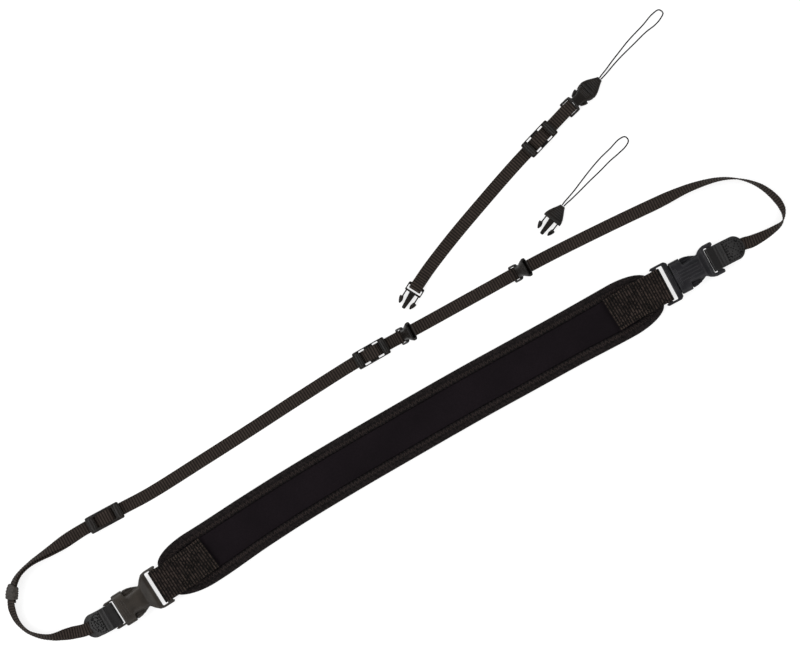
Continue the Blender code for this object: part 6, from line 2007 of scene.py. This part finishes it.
@dataclass
class Tether:
    """The short tether: its webbing, plug, ladder slider and socket."""

    start: tuple = (63.1 * MM, 92.0 * MM)
    span: float = 180.0 * MM
    heading: float = math.radians(18.8)
    bow: float = 3.4 * MM
    plug_heading: float = math.radians(27.0)
    socket_heading: float = math.radians(12.5)
    hem: float = 12.5 * MM
    ladder_share: float = 0.831
    plug_bar: float = 2.4 * MM
    plug_slack: float = 0.9 * MM
    plug_base: float = 1.5 * MM
    plug_thickness: float = 2.4 * MM
    points: tuple = (
        (0.000, 0.00), (0.095, 0.53), (0.210, 0.86), (0.310, 1.00), (0.410, 1.02), (0.510, 1.00),
        (0.610, 0.95), (0.710, 0.80), (0.830, 0.46), (0.920, 0.22), (1.000, 0.00),
    )

    def __post_init__(self) -> None:
        """Works out the two bars and the plan between them."""
        chord, table = Place(*self.start, self.heading), np.array(self.points)
        plan = chord.point(table[:, 0] * self.span, table[:, 1] * self.bow)
        self.plug_place = Place(*map(float, plan[0]), self.plug_heading + math.pi)
        self.socket_place = Place(*map(float, plan[-1]), self.socket_heading)
        self.route = Route(plan)
        half = SIZES.small_bar + GAP + SIZES.web_thickness / 2
        self.plug_half = self.plug_thickness / 2 + GAP + SIZES.web_thickness / 2
        self.plug_height = self.plug_half + SIZES.web_thickness / 2 + FLOOR_GAP
        self.socket_height = max(SMALL.thickness / 2, half + SIZES.web_thickness / 2) + FLOOR_GAP
        self.socket_half = half
        self.slider_s = self.ladder_share * self.route.length

    def webbing(self) -> None:
        """The strap: its hem under the plug's bar, over the slider, round the socket's bar and back."""
        layer, floor, length = SIZES.layer, SIZES.web_thickness / 2, self.route.length
        clear, bar = GAP + SIZES.web_thickness / 2, SIZES.small_bar
        out, into, top = LADDER_SLIDER.hump(2 * layer)
        s, at = np.linspace(0, length, 1400), self.slider_s
        upper = (
            (self.plug_bar / 2 + 2 * GAP, self.plug_height + self.plug_half), (0.6 * self.hem, floor + 1.2 * layer),
            (self.hem, floor + layer), (self.hem + 8 * MM, floor), (at - out, floor), (at - into, floor + top),
            (at + into, floor + top), (at + out, floor + layer), (at + 16 * MM, floor + layer),
            (length - bar - GAP, self.socket_height + self.socket_half),
        )
        hem_s = np.linspace(self.hem - 1.0 * MM, 0.0, 60)[:-1]
        under = ramps(hem_s, ((0.0, self.plug_height - self.plug_half), (0.5 * (self.hem - 1.0 * MM), floor)))
        back_s = np.linspace(length, at - 3.7 * MM, 300)[1:]
        back = ramps(back_s, ((length - 16 * MM, floor), (length - bar, self.socket_height - self.socket_half)))
        plug_wrap = bar_wrap(self.plug_bar / 2 + self.plug_slack, bar, self.plug_thickness / 2, clear)[::-1]
        socket_wrap = bar_wrap(bar + SMALL.opening - GAP - SIZES.web_thickness / 2 - clear, bar, bar, clear)
        parts = (
            self.on_route(hem_s, under), self.round_bar(self.plug_place, plug_wrap, self.plug_height, -1),
            self.on_route(s, ramps(s, upper)), self.round_bar(self.socket_place, socket_wrap, self.socket_height, 1),
            self.on_route(back_s, back),
        )
        centres, sides = (np.concatenate([part[k] for part in parts]) for k in (0, 1))
        even, index = along_path(centres, SIZES.rib_pitch / 6)
        narrow_web("tether_web", "tether_webbing", even, unit(read_at(index, np.arange(len(sides)), sides)))

    def on_route(self, s: Array, heights: Array) -> TwoArrays:
        """Centres and left directions along the tether's plan."""
        return raised(self.route.at(s), heights), left_of(self.route.headings(s))

    @staticmethod
    def round_bar(bar: Place, path: Array, height: float, sign: int) -> TwoArrays:
        """Centres and left directions of the webbing round a bar."""
        centres = raised(bar.point(-path[:, 0]), height + path[:, 1])
        return centres, left_of(np.full(len(path), bar.heading)) * sign

    def plug(self) -> None:
        """The plug at its loose end: an open slot, thin stems, oval heads and a guide."""
        bar, slot_half = self.plug_bar / 2, (SIZES.web_width + SIZES.web_play) / 2 + 0.5 * MM
        frame, slot_end = slot_half + SMALL.arm, bar + self.plug_slack + 1.3 * MM + SIZES.web_thickness + GAP
        shoulder, corner = slot_end + self.plug_base, 0.5 * self.plug_base
        half = [
            (-bar, 0.5 * frame), (-bar, frame - corner), (corner - bar, frame), (shoulder - 0.6 * corner, frame),
            (shoulder, frame - 0.6 * corner), *small_prongs(shoulder),
        ]
        slot = rounded_corners(slot_outline(bar, slot_end, slot_half), 0.5 * MM)
        plate = round_plate(rounded_corners(mirror_half(half), 0.4 * MM), [slot], self.plug_thickness, 0.42 * MM)
        shapes, matrix = [plate, *small_heads(shoulder, 0.62)], self.plug_place.matrix(self.plug_height)
        place_moulding("tether_plug_moulding", "tether_plug", shapes, HARDWARE, matrix)

    def stitching(self) -> None:
        """A short box of stitches that closes the hem behind the plug's bar."""
        s, level = np.linspace(8.6 * MM, self.hem - 0.6 * MM, 8), SIZES.web_thickness + SIZES.layer
        middle, side = self.route.at(s), left_of(self.route.headings(s))[:, :2]
        lines = [raised(middle + side * left * MM, level) for left in (-3.4, -1.2, 1.2, 3.4)]
        stitches("tether_hem_stitches", *seams(lines, 1.9 * MM, 0.7), 0.42 * MM, DARK_THREAD)

    def build(self) -> None:
        """Makes the whole tether."""
        self.webbing()
        self.plug()
        self.stitching()
        place = self.route.place(self.slider_s, LADDER_SLIDER.length / 2)
        Slider("tether_ladder", "tether_ladder_slider", place, 2 * SIZES.layer, LADDER_SLIDER).build()
        place, height = self.socket_place, self.socket_height
        SmallSocket("tether_socket_moulding", "tether_socket", place, height, plugged=True).build()


LOOP_ROUTE = (
    (0.4, 0.8, 1.0), (3.0, 1.3, 0.8), (8.6, 2.1, 0.3), (15.0, 3.3, 0.0), (23.9, 4.7, 0.0), (37.6, 6.6, 0.0),
    (53.1, 7.5, 0.0), (64.1, 8.7, 0.0), (70.5, 7.6, 0.0), (71.2, 3.7, 0.0), (66.5, 1.7, 0.0), (60.1, 1.1, 0.0),
    (51.2, 1.9, 0.0), (37.7, 1.6, 0.0), (24.1, 1.3, 0.0), (15.0, 0.6, 0.0), (8.6, -0.2, 0.3), (3.0, -0.7, 0.8),
    (0.4, -0.8, 1.0),
)
SPARE_ROUTE = (
    (0.4, 0.8, 1.0), (3.0, 0.9, 0.8), (8.6, 0.6, 0.3), (15.0, 0.3, 0.0), (23.0, 0.4, 0.0), (35.2, 0.4, 0.0),
    (47.2, -0.2, 0.0), (58.0, -1.7, 0.0), (68.0, -2.8, 0.0), (72.5, -5.3, 0.0), (71.8, -9.1, 0.0),
    (67.2, -10.3, 0.0), (58.5, -9.2, 0.0), (50.5, -7.6, 0.0), (39.4, -6.3, 0.0), (28.7, -4.7, 0.0),
    (18.0, -3.4, 0.0), (8.6, -2.1, 0.3), (3.0, -1.1, 0.8), (0.4, -0.8, 1.0),
)


@dataclass
class Studio:
    """Pale ground, soft lights and a camera that looks straight down on the strap."""

    centre: tuple = (36.7 * MM, 73.0 * MM)
    turn: float = math.radians(-30.85)
    shown: float = 624 * MM
    distance: float = 3.0
    boxes: tuple = (("key", 128, 46, 38), ("fill", 22, 42, 22), ("low", -58, 42, 20), ("back", -150, 46, 26))

    def camera(self) -> None:
        """A long lens, so that the view is nearly a plan."""
        lens = bpy.data.cameras.new("view")
        lens.sensor_width, lens.lens = 36.0, 36.0 * self.distance / self.shown
        lens.clip_end = 50.0
        view = added("view", lens)
        view.location, view.rotation_euler = (*self.centre, self.distance), (0.0, 0.0, self.turn)
        bpy.context.scene.camera = view

    def ground(self) -> None:
        """A wide pale sheet just under the strap."""
        corners = [(x, y, -0.25 * MM) for x, y in ((-4.0, -4.0), (4.0, -4.0), (4.0, 4.0), (-4.0, 4.0))]
        floor = finish_mesh("ground", Shape(np.array(corners), [[0, 1, 2, 3]]))
        floor.data.materials.append(FLOOR.material())

    def lights(self) -> None:
        """Four wide soft boxes round the view, so that flat faces mirror the dark overhead."""
        for name, azimuth, elevation, power in self.boxes:
            turn, tilt = math.radians(azimuth), math.radians(elevation)
            spot = Vector((math.cos(turn) * math.cos(tilt), math.sin(turn) * math.cos(tilt), math.sin(tilt))) * 2.4
            lamp = bpy.data.lights.new(name, "AREA")
            lamp.shape, lamp.size, lamp.size_y, lamp.energy = "RECTANGLE", 2.6, 1.6, power
            box = added(name, lamp)
            box.location = spot + Vector((*self.centre, 0.0))
            box.rotation_euler = spot.to_track_quat("Z", "Y").to_euler()
        world = bpy.data.worlds.new("room")
        world.use_nodes = True
        world.node_tree.nodes["Background"].inputs["Color"].default_value = (1.0, 1.0, 1.0, 1.0)
        world.node_tree.nodes["Background"].inputs["Strength"].default_value = 0.16
        bpy.context.scene.world = world
        bpy.context.scene.view_settings.view_transform = "Standard"


def main() -> None:
    """Builds the strap, piece by piece."""
    logging.basicConfig(level=logging.INFO, format="%(message)s")
    studio = Studio()
    studio.camera()
    tether, plan = Tether(), SlingPlan()
    loop_shoulder = tether.socket_place.ahead(SMALL.mouth + GAP)
    spare_shoulder, spare_height = Place(180.0 * MM, 82.4 * MM, math.radians(21.4)), 2.2 * MM + FLOOR_GAP
    loop = LoopPlug("loop_plug_moulding", "loop_plug", loop_shoulder.turned(), tether.socket_height)
    spare = LoopPlug("spare_plug_moulding", "spare_loop_plug", spare_shoulder.turned(), spare_height)
    loop.build()
    spare.build()
    tip = loop_shoulder.ahead(loop.body)
    CordLoop("loop_cord_braid", "loop_cord", tip, loop.height, LOOP_ROUTE, loop.name).build()
    tip = spare_shoulder.ahead(spare.body)
    CordLoop("spare_cord_braid", "spare_loop_cord", tip, spare.height, SPARE_ROUTE, spare.name).build()
    ShoulderPad().build()
    PadTab("left", plan.left_pad_bar.turned(), 2.0 * MM).build()
    PadTab("right", plan.right_pad_bar.turned(), 1.7 * MM).build()
    BuckleSocket("left", plan.left_pad_bar, PAD_END, plan.left_neck, LEFT_PLASTIC, False).build()
    bar = plan.right_tab_bar.turned()
    BuckleSocket("right", bar, SOCKET_TAB_END, plan.right_neck, RIGHT_PLASTIC, True).build()
    left_reach, right_reach = PLUG_TAB_END.slot_end + GAP, plan.right_shoulder + GAP
    BuckleFork("left", plan.left_tab_bar.turned(), PLUG_TAB_END, 3.4 * MM, left_reach, LEFT_PLASTIC).build()
    BuckleFork("right", plan.right_pad_bar, PAD_END, plan.right_base, right_reach, RIGHT_PLASTIC).build()
    EndTab("left", plan.left_tab_bar, -plan.left_sway, Layer.LOWER).build()
    EndTab("right", plan.right_tab_bar, plan.right_sway, Layer.UPPER, 0.85 * MM).build()
    NarrowWebbing(plan).build()
    place = plan.route.place(plan.slider_s, TAIL_SLIDER.length / 2)
    Slider("tail_slider", "length_slider", place, 2 * SIZES.layer, TAIL_SLIDER).build()
    place = plan.route.place(plan.ladder_s, LADDER_SLIDER.length / 2)
    Slider("sling_ladder", "sling_ladder_slider", place, SIZES.layer, LADDER_SLIDER).build()
    for number, (share, pitch) in enumerate(plan.sockets, 1):
        place, height = plan.route.place(share * plan.route.length, 2 * MM), tipped_reach(pitch) + FLOOR_GAP
        SmallSocket(f"small_socket_{number}", f"accessory_socket_{number}", place, height, pitch).build()
    tether.build()
    studio.ground()
    studio.lights()


if __name__ == "__main__":
    main()
